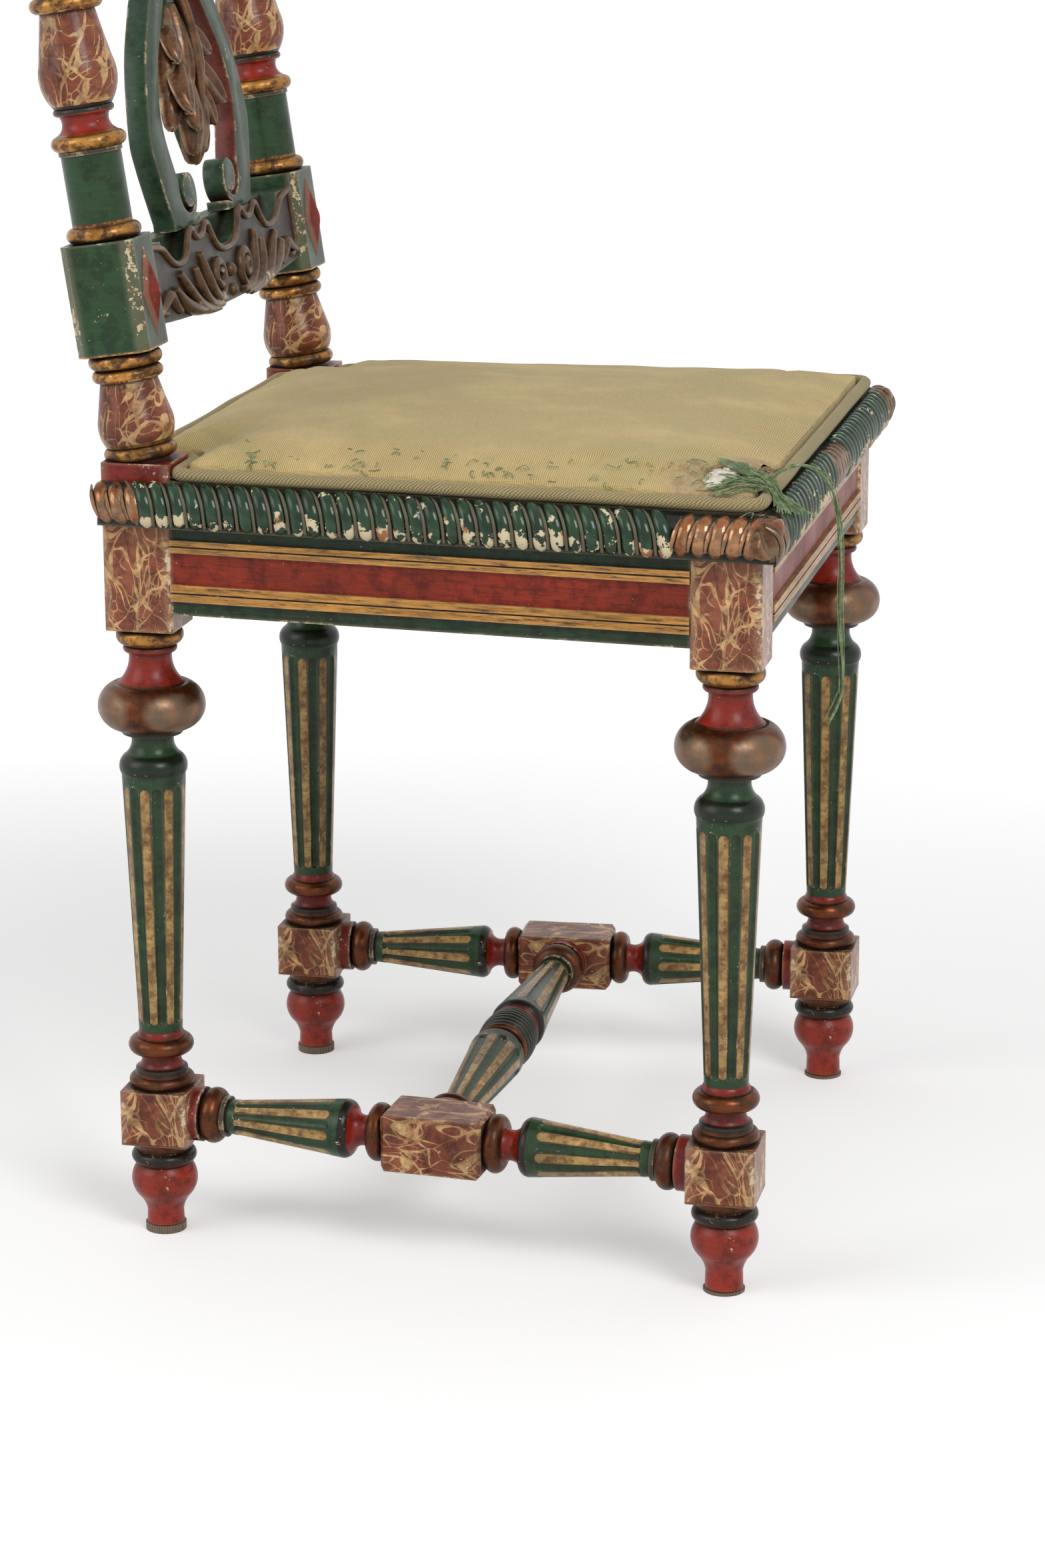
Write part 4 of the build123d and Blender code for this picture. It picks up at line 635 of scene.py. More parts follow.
railField = (0.4119, 0.4311)  # bottom and top of the rails' red field


def railMaterial(name, sideways):
    # green edges and a brushed red field between the gilt strips
    material, tree, shader = newMaterial(name)
    source = objectPlace(tree)
    height = axisOf(tree, source, "Z")
    aboveLow = maths(tree, "GREATER_THAN", height, railField[0])
    field = maths(tree, "MULTIPLY", aboveLow, maths(tree, "LESS_THAN", height, railField[1]))
    squeeze = (6, 1, 16) if sideways else (1, 6, 16)
    lines = stretched(tree, source, squeeze)
    scratches = noiseField(tree, lines, 42, 5, 0.72)
    redShare = spread(tree, scratches, 0.50, 0.66, 0.0, 0.75)
    red = blendColour(tree, redShare, (0.235, 0.024, 0.010), (0.090, 0.010, 0.005))
    greenShare = spread(tree, scratches, 0.45, 0.66, 0.0, 0.7)
    green = blendColour(tree, greenShare, (0.018, 0.042, 0.020), (0.008, 0.012, 0.007))
    wear = wornPaint(tree, source, blendColour(tree, field, green, red), 0.7, 0.16, recess=1.0)
    rough = maths(tree, "ADD", wear.outputs["Rough"], 0.36)
    feed(tree, shader, {"Base Color": wear.outputs["Color"], "Roughness": rough})
    rib = maths(tree, "MULTIPLY_ADD", scratches, 0.6, wear.outputs["Height"])
    addBump(tree, shader, rib, 0.4, 0.0008)
    return material


def bareWoodMaterial(name, colour):
    material, tree, shader = newMaterial(name)
    source = objectPlace(tree)
    grain = stretched(tree, source, (1.0, 9.0, 9.0))
    rings = noiseField(tree, grain, 26, 6, 0.65, 0.6)
    fine = noiseField(tree, grain, 190, 3, 0.6)
    dark = tuple(channel * 0.5 for channel in colour)
    ground = blendColour(tree, spread(tree, rings, 0.35, 0.65), colour, dark)
    ground = blendColour(tree, spread(tree, fine, 0.5, 0.7, 0.0, 0.5), ground, dark)
    feed(tree, shader, {"Base Color": ground, "Roughness": 0.72})
    addBump(tree, shader, fine, 0.3, 0.0006)
    return material


def clothMaterial(name, light, dark, pitch, mapped=True, flecks=0.0, lift=0.0004, fade=0.3):
    # ribbed twill on the piece's own UV map, which is in metres, or on object coordinates
    material, tree, shader = newMaterial(name)
    place = put(tree, "ShaderNodeUVMap", uv_map="cloth").outputs["UV"] if mapped else objectPlace(tree)
    split = put(tree, "ShaderNodeSeparateXYZ", {0: place})
    drift = noiseField(tree, place, 60, 2, 0.5)
    ribAt = maths(tree, "MULTIPLY_ADD", drift, pitch * 1.6, split.outputs["Y"])
    rib = maths(tree, "SINE", maths(tree, "MULTIPLY", ribAt, 2 * math.pi / pitch))
    warp = maths(tree, "SINE", maths(tree, "MULTIPLY", split.outputs["X"], 2 * math.pi / (pitch * 0.8)))
    weave = maths(tree, "MULTIPLY_ADD", warp, 0.45, rib)
    weave = spread(tree, weave, -1.45, 1.45, smooth=False)
    slub = stretched(tree, place, (1.0, 14.0, 1.0))
    slubs = noiseField(tree, slub, 120, 3, 0.6)
    cloud = noiseField(tree, place, 11, 4, 0.6)
    colour = blendColour(tree, spread(tree, weave, 0.15, 0.85), dark, light)
    worn = tuple(min(1.0, channel * 1.22) for channel in light)
    colour = blendColour(tree, spread(tree, cloud, 0.42, 0.72, 0.0, fade), colour, worn)
    colour = blendColour(tree, spread(tree, slubs, 0.50, 0.72, 0.0, 0.35), colour, dark)
    tint = noiseField(tree, place, 17, 3, 0.6)
    greener = blendColour(tree, 1.0, colour, (0.80, 1.0, 0.78), "MULTIPLY")
    colour = blendColour(tree, spread(tree, tint, 0.47, 0.70, 0.0, 0.35), colour, greener)
    if flecks:
        specks = noiseField(tree, place, 420, 2, 0.6)
        patches = noiseField(tree, place, 26, 3, 0.6)
        amount = maths(tree, "MULTIPLY_ADD", patches, 0.16, specks)
        speck = maths(tree, "GREATER_THAN", amount, 0.845 - 0.02 * flecks)
        colour = blendColour(tree, maths(tree, "MULTIPLY", speck, 0.7), colour, (0.075, 0.115, 0.045))
    inputs = {
        "Base Color": colour,
        "Roughness": 0.88,
        "Sheen Weight": 0.25,
        "Sheen Roughness": 0.5,
        "Sheen Tint": (0.9, 0.85, 0.65, 1),
    }
    feed(tree, shader, inputs)
    height = maths(tree, "MULTIPLY_ADD", slubs, 0.5, weave)
    addBump(tree, shader, height, 0.55, lift)
    return material


twillColours = {"light": (0.62, 0.465, 0.215), "dark": (0.29, 0.21, 0.088)}
finishes = {
    # colour, chips on edges, chips on faces, roughness
    "stripGold": paintedMaterial(
        "stripGilding", (0.50, 0.235, 0.050), 0.4, 0.15, 0.30, gilt=0.6, scale=(0.5, 0.5, 5), grain=0.6
    ),
    "blackPaint": paintedMaterial("blackPaint", (0.016, 0.016, 0.012), 0.5, 0.2, 0.42),
    "redPaint": paintedMaterial("redPaint", (0.20, 0.020, 0.012), 0.5, 0.2, 0.28),
    "greenPaint": paintedMaterial("greenPaint", (0.022, 0.058, 0.026), 0.8, 0.4, 0.30),
    "ribGreen": paintedMaterial("ribGreen", (0.014, 0.026, 0.014), 0.15, 0.05, 0.22),
    "carvedBronze": paintedMaterial("carvedBronze", (0.15, 0.066, 0.028), 0.35, 0.10, 0.20, gilt=0.6),
    "cornerCopper": paintedMaterial("cornerCopper", (0.30, 0.115, 0.045), 0.30, 0.25, 0.08, gilt=0.85),
    "railBrown": paintedMaterial("railBrown", (0.125, 0.068, 0.036), 0.55, 0.10, 0.30, gilt=0.35),
    "carvedGilt": paintedMaterial("carvedGilt", (0.34, 0.18, 0.062), 0.4, 0.15, 0.30, gilt=0.6),
    "finialRed": paintedMaterial("finialRed", (0.26, 0.030, 0.017), 0.6, 0.3, 0.26),
    "bareWood": bareWoodMaterial("bareWood", (0.42, 0.25, 0.115)),
    "jute": clothMaterial("jute", (0.36, 0.25, 0.12), (0.20, 0.13, 0.06), 0.0026, mapped=False, lift=0.0008),
    "felt": clothMaterial("felt", (0.19, 0.145, 0.105), (0.105, 0.078, 0.055), 0.0016, mapped=False),
    "steel": paintedMaterial("screwSteel", (0.42, 0.42, 0.40), 0.1, 0.0, 0.28, gilt=0.9),
    "gadroonGreen": gadroonMaterial(),
    "grooveBlack": paintedMaterial("grooveBlack", (0.010, 0.016, 0.011), 0.35, 0.1, 0.34),
    "armGreen": paintedMaterial("armGreen", (0.024, 0.056, 0.030), 1.0, 0.6, 0.30),
    "armRed": paintedMaterial("armRed", (0.13, 0.026, 0.017), 0.8, 0.25, 0.34),
}
# how a node's name starts, and its finish
nodeFinish = {
    "felt_pad": "felt", "corner_block": "bareWood", "splat_dowels": "bareWood", "corner_screws": "steel",
    "webbing": "jute", "hessian": "jute", "fillet_strip": "blackPaint", "upper_strip": "stripGold",
    "lower_strip": "stripGold", "lyre_collar": "carvedGilt", "acanthus_drop": "carvedBronze",
    "leaf_backing": "greenPaint", "lyre_arm": "greenPaint", "lower_lozenge": "redPaint",
    "crest_lozenge": "redPaint", "edge_moulding": "gadroonGreen", "crest_cartouche": "carvedGilt",
    "finial": "finialRed", "cushion": "jute", "loose_thread": "jute",
}
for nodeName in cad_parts:
    for start, finishName in nodeFinish.items():
        if nodeName.startswith(start):
            setMaterial(nodeName, finishes[finishName])
for nodeName in ("lower_back_rail", "crest_rail"):
    setMaterial(nodeName, backRailMaterial(f"{nodeName}_paint"))
railPaints = {
    "front_rail": "frontRailPaint",
    "back_rail": "backRailPaint",
    "side_rail_right": "sideRailPaintRight",
    "side_rail_left": "sideRailPaintLeft",
}
for nodeName, paintName in railPaints.items():
    setMaterial(nodeName, railMaterial(paintName, nodeName.startswith("side")))
print("nodes painted")


# modelling helpers
def clearSelection():
    if bpy.context.object and bpy.context.object.mode == "EDIT":
        bpy.ops.object.mode_set(mode="OBJECT")
    bpy.ops.object.select_all(action="DESELECT")


def pick(target):
    clearSelection()
    target.select_set(True)
    bpy.context.view_layer.objects.active = target


def joinAll(name, parts):
    clearSelection()
    for part in parts:
        part.select_set(True)
    bpy.context.view_layer.objects.active = parts[0]
    if len(parts) > 1:
        bpy.ops.object.join()
    joined = bpy.context.view_layer.objects.active
    bpy.ops.object.transform_apply(location=True, rotation=True, scale=True)
    joined.name = name
    joined.data.name = name
    return joined


def smoothShade(target, degrees=50):
    pick(target)
    bpy.ops.object.shade_smooth_by_angle(angle=math.radians(degrees))


def giveMaterials(target, *materials):
    # sets the slots and keeps each face on the slot that it had
    slots = [face.material_index for face in target.data.polygons]
    target.data.materials.clear()
    for material in materials:
        target.data.materials.append(material)
    for face, slot in zip(target.data.polygons, slots):
        face.material_index = min(slot, len(materials) - 1)


def finishPiece(target, slotName, *materials, shade=50):
    giveMaterials(target, *materials)
    smoothShade(target, shade)
    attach(target, "root")
    return target


def curveObject(name, points, bevel, roundness, steps, radii=None):
    curve = bpy.data.curves.new(name, "CURVE")
    curve.dimensions = "3D"
    curve.bevel_depth = bevel
    curve.bevel_resolution = roundness
    curve.resolution_u = steps
    curve.use_fill_caps = bevel > 0
    line = curve.splines.new("NURBS")
    line.points.add(len(points) - 1)
    for index, place in enumerate(points):
        line.points[index].co = (*place, 1)
        if radii:
            line.points[index].radius = max(radii[index], 0.00004)
    line.order_u = min(3, len(points))
    line.use_endpoint_u = True
    return link(name, curve)


def roundStrand(name, points, radii, roundness=2, steps=3):
    # a tapering strand that follows its points; radii is one radius or one for each point
    pointRadii = radii if isinstance(radii, (list, tuple)) else [radii] * len(points)
    pick(curveObject(name, points, 1.0, roundness, steps, pointRadii))
    bpy.ops.object.convert(target="MESH")
    return bpy.context.object


def mergedCopy(nodeName, name):
    # a copy of a node, with the points that its faces share merged
    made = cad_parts[nodeName].copy()
    made.data = made.data.copy()
    made.name = name
    bpy.context.scene.collection.objects.link(made)
    pick(made)
    bpy.ops.object.mode_set(mode="EDIT")
    bpy.ops.mesh.select_all(action="SELECT")
    bpy.ops.mesh.remove_doubles(threshold=0.00002)
    bpy.ops.object.mode_set(mode="OBJECT")
    return made


def fromBmesh(name, mesh):
    bmesh.ops.recalc_face_normals(mesh, faces=mesh.faces)
    data = bpy.data.meshes.new(name)
    mesh.to_mesh(data)
    mesh.free()
    return link(name, data)


def applyModifier(target, name, kind, **settings):
    pick(target)
    modifier = target.modifiers.new(name, kind)
    for setting, value in settings.items():
        setattr(modifier, setting, value)
    bpy.ops.object.modifier_apply(modifier=name)


def smoothLine(points, count):
    # evenly numbered points on a soft curve through the given ones
    made = []
    last = len(points) - 1
    for index in range(count):
        place = index / (count - 1) * last
        seg = min(int(place), last - 1)
        t = place - seg
        p0 = Vector(points[max(seg - 1, 0)])
        p1 = Vector(points[seg])
        p2 = Vector(points[seg + 1])
        p3 = Vector(points[min(seg + 2, last)])
        square = (2 * p0 - 5 * p1 + 4 * p2 - p3) * t * t
        cube = (3 * p1 - p0 - 3 * p2 + p3) * t**3
        made.append(0.5 * ((2 * p1) + (p2 - p0) * t + square + cube))
    return made


# gadrooned edge of the seat
gadroon = {
    "pitch": 0.01030,
    "baseZ": 0.446,
    "out": 0.03475,
    "sink": 0.0042,
    "leafPitch": 0.0098,
    "leafReach": 0.026,
    "aroundCorner": -0.0335,
    "cornerLeaf": (0.207, 0.2325),
    "rearLeaf": (0.030, 0.002),
    "gapAtRear": 0.028,
    # each lobe: out from the moulding's edge, height, lean along the rail, radius
    "lobe": [
        (-0.0128, 0.0262, 0.0098, 0.0012), (-0.0112, 0.0256, 0.0084, 0.0030),
        (-0.0084, 0.0232, 0.0056, 0.0044), (-0.0058, 0.0185, 0.0024, 0.0050),
        (-0.0046, 0.0130, 0.0004, 0.0052), (-0.0046, 0.0078, 0.0, 0.0050),
        (-0.0056, 0.0038, 0.0, 0.0042), (-0.0072, 0.0016, 0.0, 0.0018),
    ],
    "rib": [
        (-0.0120, 0.0262, 0.0104, 0.0008), (-0.0072, 0.0250, 0.0062, 0.0012),
        (-0.0034, 0.0200, 0.0026, 0.0013), (-0.0017, 0.0140, 0.0006, 0.0013),
        (-0.0016, 0.0080, 0.0, 0.0013), (-0.0030, 0.0030, 0.0, 0.0010),
    ],
}


def edgePoint(start, along, outwards, distance, out, height):
    spot = start + along * distance + outwards * (gadroon["out"] + out)
    return (spot.x, spot.y, gadroon["baseZ"] + height)


def gadroonRun(name, start, along, outwards, first, last, lean, material):
    # lobes with a thin rib between each pair, all from one lobe and one rib
    count = max(1, round((last - first) / gadroon["pitch"]))
    pitch = (last - first) / count
    parts = []
    for index in range(count):
        for shape, offset in ((gadroon["lobe"], 0.5), (gadroon["rib"], 1.0)):
            centre = first + pitch * (index + offset)
            wobble = 0.00025 * math.sin(index * 2.7 + start.y * 40)
            points = [
                edgePoint(start, along, outwards, centre + tilt * lean + wobble, out, height)
                for out, height, tilt, radius in shape
            ]
            swell = 1.0 + 0.05 * math.sin(index * 1.9 + 1)
            strand = roundStrand(f"{name}_part", points, [radius * swell for *_, radius in shape], 2, 3)
            giveMaterials(strand, material, finishes["ribGreen"])
            for face in strand.data.polygons:
                face.material_index = int(offset == 1.0)
            parts.append(strand)
    made = joinAll(name, parts)
    return finishPiece(made, "green_paint", material, finishes["ribGreen"])


def leafWrap(name, start, along, outwards, first, last, lean, material):
    # fat overlapping leaf lobes with a turned-up tip, where the gadroons stop, over a full body
    count = max(3, round((last - first) / gadroon["leafPitch"]))
    pitch = (last - first) / count
    bodyRadii = [0.0085, 0.0103, 0.0106, 0.0106, 0.0106, 0.0103, 0.0085]
    bodyLine = [
        edgePoint(start, along, outwards, first + (last - first) * step / 6, -0.0112, 0.0125)
        for step in range(len(bodyRadii))
    ]
    parts = [roundStrand(f"{name}_body", bodyLine, bodyRadii, 4, 2)]
    for index in range(count):
        centre = first + pitch * (index + 0.5)
        share = index / (count - 1)
        size = 1.10 - 0.24 * abs(share - 0.45)
        lobe = [
            (-0.0150, 0.0240, 0.0060 * lean, 0.0012),
            (-0.0122, 0.0234, 0.0048 * lean, 0.0034),
            (-0.0088, 0.0204, 0.0030 * lean, 0.0058 * size),
            (-0.0066, 0.0156, 0.0010 * lean, 0.0068 * size),
            (-0.0060, 0.0102, -0.0008 * lean, 0.0068 * size),
            (-0.0064, 0.0056, -0.0022 * lean, 0.0052 * size),
            (-0.0078, 0.0024, -0.0028 * lean, 0.0022),
        ]
        points = [
            edgePoint(start, along, outwards, centre + tilt, out, height)
            for out, height, tilt, radius in lobe
        ]
        parts.append(roundStrand(f"{name}_part", points, [radius for *_, radius in lobe], 3, 4))
        # a raised vein between each pair of lobes
        between = centre + pitch * 0.5
        vein = [
            edgePoint(start, along, outwards, between + tilt, out + radius * 0.84, height + radius * 0.1)
            for out, height, tilt, radius in lobe[1:6]
        ]
        parts.append(roundStrand(f"{name}_vein", vein, [0.0006, 0.0012, 0.0014, 0.0012, 0.0006], 1, 3))
    made = joinAll(name, parts)
    return finishPiece(made, "gilt_paint", material)


def recessedBase(nodeName, name, walls):
    # the moulding's own body, drawn in so that the lobes stand on it
    made = mergedCopy(nodeName, name)
    for vertex in made.data.vertices:
        for start, outwards in walls:
            over = (vertex.co - start).dot(outwards) - (gadroon["out"] - gadroon["sink"])
            if over > 0:
                vertex.co -= outwards * over
        vertex.co.z = max(vertex.co.z, gadroon["baseZ"] + 0.0010)
    finishPiece(made, "green_paint", finishes["grooveBlack"])
    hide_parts(nodeName)


frontWall = (Vector((0, chair["frontY"], 0)), Vector((0, -1, 0)))
recessedBase("edge_moulding_front", "front_edge_body", [frontWall])
for sideName, side in sides.items():
    along = Vector((side * sideRun.x, sideRun.y, 0))
    outwards = Vector((side * sideRun.y, -sideRun.x, 0))
    sideWall = (Vector((side * chair["frontHalf"], chair["frontY"], 0)), outwards)
    recessedBase(f"edge_moulding_{sideName}", f"edge_body_{sideName}", [sideWall, frontWall])
    start = sideWall[0]
    leafEnd = gadroon["leafReach"]
    rearEnd = (chair["rearY"] + chair["legHalf"] - chair["frontY"]) / sideRun.y
    runEnd = rearEnd - gadroon["gapAtRear"]
    gadroonRun(f"gadroons_{sideName}", start, along, outwards, leafEnd, runEnd, 1.0, finishes["gadroonGreen"])
    copper = finishes["cornerCopper"]
    leafWrap(f"front_leaf_{sideName}", start, along, outwards, gadroon["aroundCorner"], leafEnd, -0.7, copper)
    first, last = (rearEnd - gap for gap in gadroon["rearLeaf"])
    leafWrap(f"rear_leaf_{sideName}", start, along, outwards, first, last, 1.0, copper)
frontStart, forward = frontWall
leafFrom, leafTo = gadroon["cornerLeaf"]
middle = gadroon["leafReach"]
for sideName, side in sides.items():
    along = Vector((side, 0, 0))
    name = f"front_gadroons_{sideName}"
    gadroonRun(name, frontStart, along, forward, middle, leafFrom, -1.0, finishes["gadroonGreen"])
bronze = finishes["carvedBronze"]
leafWrap("front_middle_leaf", frontStart, Vector((1, 0, 0)), forward, -middle, middle, 0.3, bronze)
for sideName, side in sides.items():
    name = f"front_corner_leaf_{sideName}"
    leafWrap(name, frontStart, Vector((side, 0, 0)), forward, leafFrom, leafTo, 0.7, bronze)
print("gadroons carved")


# padded seat
seat = {
    "insideEdge": 0.01275,
    "notchGap": 0.009,
    "rim": 0.4815,
    "crown": 0.4998,
    "domeReach": 0.014,
    "bellyReach": 0.062,
    "voxel": 0.0042,
    # height of the side's upper edge: for the dome, for the tear and for the cloth's map
    "topFrom": 0.4800,
    "tearFrom": 0.4805,
    "mapFrom": 0.481,
    "pinnedEdge": 0.006,
    "weltRadius": 0.00395,
    "weltHeight": 0.4772,
    "weltOut": 0.0054,
}
puff = {"frames": 18, "pressure": 1.0, "furthest": 0.0016}


def legLineX(y, out=0.0):
    share = (y - chair["frontY"]) / (chair["rearY"] - chair["frontY"])
    return chair["frontHalf"] + (chair["rearHalf"] - chair["frontHalf"]) * share + out


def seatCorners(grow=0.0):
    frontY = chair["frontY"] - seat["insideEdge"] - grow
    backY = chair["rearY"] + seat["insideEdge"] + grow - 0.008
    notchY = chair["rearY"] - chair["legHalf"] - seat["notchGap"] + grow
    notchX = chair["rearHalf"] - chair["legHalf"] - seat["notchGap"] + grow
    left = [
        (legLineX(frontY, seat["insideEdge"] + grow), frontY),
        (legLineX(notchY, seat["insideEdge"] + grow), notchY),
        (notchX, notchY),
        (notchX, backY),
    ]
    return [Vector(spot) for spot in left] + [Vector((-x, y)) for x, y in reversed(left)]


def distanceInside(x, y, corners):
    # how far a point of the plan is from the outline
    spot = Vector((x, y))
    nearest = 1.0
    for first, second in zip(corners, corners[1:] + corners[:1]):
        run = second - first
        share = max(0.0, min(1.0, (spot - first).dot(run) / run.length_squared))
        nearest = min(nearest, (spot - (first + run * share)).length)
    return nearest


tear = {"centre": Vector((-0.179, -0.2025)), "second": Vector((-0.136, -0.2195)), "sagReach": 0.045}
tearHoles = ((tear["centre"], (0.0190, 0.0080)), (tear["second"], (0.0095, 0.0036)))


def tearGap(spot):
    # 1 on the rim of the nearer hole
    gaps = []
    for centre, (halfLong, halfWide) in tearHoles:
        away = spot - centre
        gaps.append(math.hypot(away.x / halfLong, away.y / halfWide))
    return min(gaps)


def crownHeight(x, y, corners):
    # soft dome, steep near the welt, with a loose roll at the torn corner
    depth = distanceInside(x, y, corners)
    steep = max(0.0, min(1.0, max((-x - 0.05) / 0.11, (y - 0.05) / 0.07)))
    steep *= max(0.0, min(1.0, (y + 0.225) / 0.05))
    dome = 1 - math.exp(-depth / seat["domeReach"])
    belly = 1 - math.exp(-depth / seat["bellyReach"])
    share = 0.06 + 0.36 * steep
    sagging = 1 - 0.22 * max(0.0, min(1.0, x / 0.15))
    rise = (seat["crown"] - seat["rim"]) * sagging * (share * dome + 1.05 * (1 - share) * belly)
    wide = 0.0010 * noise.noise(Vector((x * 14, y * 14, 3)))
    fine = 0.0004 * noise.noise(Vector((x * 45, y * 45, 7)))
    return seat["rim"] + rise + (wide + fine), depth


def makeCushion():
    body = mergedCopy("cushion", "seat_pad")
    body.modifiers.clear()
    applyModifier(body, "remesh", "REMESH", mode="VOXEL", voxel_size=seat["voxel"])
    corners = seatCorners()
    pinned = body.vertex_groups.new(name="pinned")
    for vertex in body.data.vertices:
        x, y, z = vertex.co
        height, depth = crownHeight(x, y, corners)
        if z > seat["topFrom"]:
            vertex.co.z = height
        if z <= seat["topFrom"] or depth < seat["pinnedEdge"]:
            pinned.add([vertex.index], 1.0, "REPLACE")
    return body, corners


def puffCloth(body):
    # inflates the cover a little, so that it pulls from its welt, and keeps each point near its place
    before = [vertex.co.copy() for vertex in body.data.vertices]
    pick(body)
    cloth = body.modifiers.new("cloth", "CLOTH")
    cloth.settings.effector_weights.gravity = 0
    cloth.settings.use_pressure = True
    cloth.settings.uniform_pressure_force = puff["pressure"]
    cloth.settings.vertex_group_mass = "pinned"
    cloth.settings.tension_stiffness = 18
    cloth.settings.compression_stiffness = 18
    cloth.settings.bending_stiffness = 0.4
    cloth.settings.shrink_min = -0.015
    cloth.settings.mass = 0.25
    cloth.settings.quality = 5
    cloth.point_cache.frame_start = 1
    cloth.point_cache.frame_end = puff["frames"]
    for step in range(1, puff["frames"] + 1):
        bpy.context.scene.frame_set(step)
    bpy.ops.object.modifier_apply(modifier="cloth")
    bpy.context.scene.frame_set(1)
    for vertex, old in zip(body.data.vertices, before):
        move = vertex.co - old
        if move.length > puff["furthest"]:
            vertex.co = old + move * (puff["furthest"] / move.length)


pad, seatPlan = makeCushion()
puffCloth(pad)
print("cushion puffed")


def tearCushion(body):
    # opens the worn hole and roughens its rim
    mesh = bmesh.new()
    mesh.from_mesh(body.data)
    doomed = []
    for face in mesh.faces:
        middle = face.calc_center_median()
        if middle.z < seat["tearFrom"]:
            continue
        if tearGap(middle.xy) < 1 + 0.35 * noise.noise(Vector((middle.x * 160, middle.y * 160, 1))):
            doomed.append(face)
    bmesh.ops.delete(mesh, geom=doomed, context="FACES")
    for vertex in mesh.verts:
        gap = (vertex.co.xy - tear["centre"]).length
        if vertex.co.z > seat["tearFrom"] and gap < tear["sagReach"]:
            near = 1 - gap / tear["sagReach"]
            vertex.co.z += 0.0020 * near * noise.noise(Vector((vertex.co.x * 120, vertex.co.y * 120, 5)))
            vertex.co.z -= 0.0026 * near**2
    mesh.to_mesh(body.data)
    mesh.free()


tearCushion(pad)
applyModifier(pad, "fine", "SUBSURF", levels=1, render_levels=1)
clothMap = pad.data.uv_layers.new(name="cloth")
for loop in pad.data.loops:
    place = pad.data.vertices[loop.vertex_index].co
    below = max(0, seat["mapFrom"] - place.z)
    clothMap.data[loop.index].uv = (place.x + below, place.y + below)
seatTwill = clothMaterial(
    "seatTwill", twillColours["light"], twillColours["dark"], 0.00125, flecks=1.0, fade=0.45
)


def addFraying(material):
    # the twill pales to tan fibres round the hole
    tree = material.node_tree
    shader = tree.nodes["Principled BSDF"]
    base = shader.inputs["Base Color"].links[0].from_socket
    source = objectPlace(tree)
    blur = noiseNode(tree, source, 150, 3, 0.7)
    moved = nudged(tree, source, blur.outputs["Color"], 0.016)
    level = vectorMaths(tree, "MULTIPLY", moved, (1, 1, 0))
    shares = []
    for centre, inner, outer in (((-0.190, -0.200, 0), 0.020, 0.036), ((-0.138, -0.220, 0), 0.012, 0.026)):
        gap = put(tree, "ShaderNodeVectorMath", {0: level, 1: centre}, operation="DISTANCE")
        shares.append(spread(tree, gap.outputs["Value"], outer, inner))
    fray = maths(tree, "MULTIPLY", maths(tree, "MAXIMUM", *shares), 0.75)
    tone = spread(tree, blur.outputs["Fac"], 0.4, 0.62)
    tan = blendColour(tree, tone, (0.30, 0.19, 0.085), (0.44, 0.33, 0.19))
    tree.links.new(blendColour(tree, fray, base, tan), shader.inputs["Base Color"])


addFraying(seatTwill)
finishPiece(pad, "olive_twill", seatTwill, shade=80)
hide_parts("cushion")


def roundedPath(corners, radii):
    # closed outline with rounded corners
    steps = 5
    made = []
    count = len(corners)
    for index, corner in enumerate(corners):
        before = (corners[index - 1] - corner).normalized()
        after = (corners[(index + 1) % count] - corner).normalized()
        half = before.angle(after) / 2
        radius = radii[index]
        reach = radius / math.tan(half)
        begin = corner + before * reach
        end = corner + after * reach
        for step in range(steps + 1):
            share = step / steps
            inner = corner * 2 * share * (1 - share)
            made.append(begin * (1 - share) ** 2 + inner + end * share**2)
    return made


def denser(points, gap):
    made = []
    for first, second in zip(points, points[1:] + points[:1]):
        count = max(1, int((second - first).length / gap))
        for index in range(count):
            made.append(first.lerp(second, index / count))
    return made


def makeWelt():
    # cord covered in bias twill, sewn in round the pad's edge
    radii = [0.010, 0.010, 0.006, 0.010, 0.010, 0.006, 0.010, 0.010]
    plan = denser(roundedPath(seatCorners(seat["weltOut"]), radii), 0.006)
    around = 10
    mesh = bmesh.new()
    layer = mesh.loops.layers.uv.new("cloth")
    rings = []
    travelled = [0.0]
    for index, spot in enumerate(plan):
        ahead = (plan[(index + 1) % len(plan)] - plan[index - 1]).normalized()
        outwards = Vector((ahead.y, -ahead.x))
        wave = noise.noise(Vector((spot.x * 30, spot.y * 30, 2)))
        radius = seat["weltRadius"] * (1 + 0.05 * wave)
        centreZ = seat["weltHeight"] + 0.0006 * noise.noise(Vector((spot.x * 18, spot.y * 18, 9)))
        ring = []
        for corner in range(around):
            angle = 2 * math.pi * corner / around
            flat = spot + outwards * (math.cos(angle) * radius)
            ring.append(mesh.verts.new((flat.x, flat.y, centreZ + math.sin(angle) * radius)))
        rings.append(ring)
        travelled.append(travelled[-1] + (plan[(index + 1) % len(plan)] - spot).length)
    for index, ring in enumerate(rings):
        following = rings[(index + 1) % len(rings)]
        for corner in range(around):
            nextCorner = (corner + 1) % around
            face = mesh.faces.new((ring[corner], following[corner], following[nextCorner], ring[nextCorner]))
            lengths = (travelled[index], travelled[index + 1], travelled[index + 1], travelled[index])
            turns = (corner, corner, corner + 1, corner + 1)
            for loop, length, turn in zip(face.loops, lengths, turns):
                girth = turn / around * 0.025
                loop[layer].uv = ((length + girth) * 0.7071, (length - girth) * 0.7071)
    return fromBmesh("seat_welt", mesh)


welt = makeWelt()
weltTwill = clothMaterial(
    "weltTwill", (0.40, 0.315, 0.160), (0.170, 0.130, 0.062), 0.00170, lift=0.0005, fade=0.2
)
finishPiece(welt, "olive_welt", weltTwill, shade=80)
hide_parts("cushion_piping")
print("seat covered")


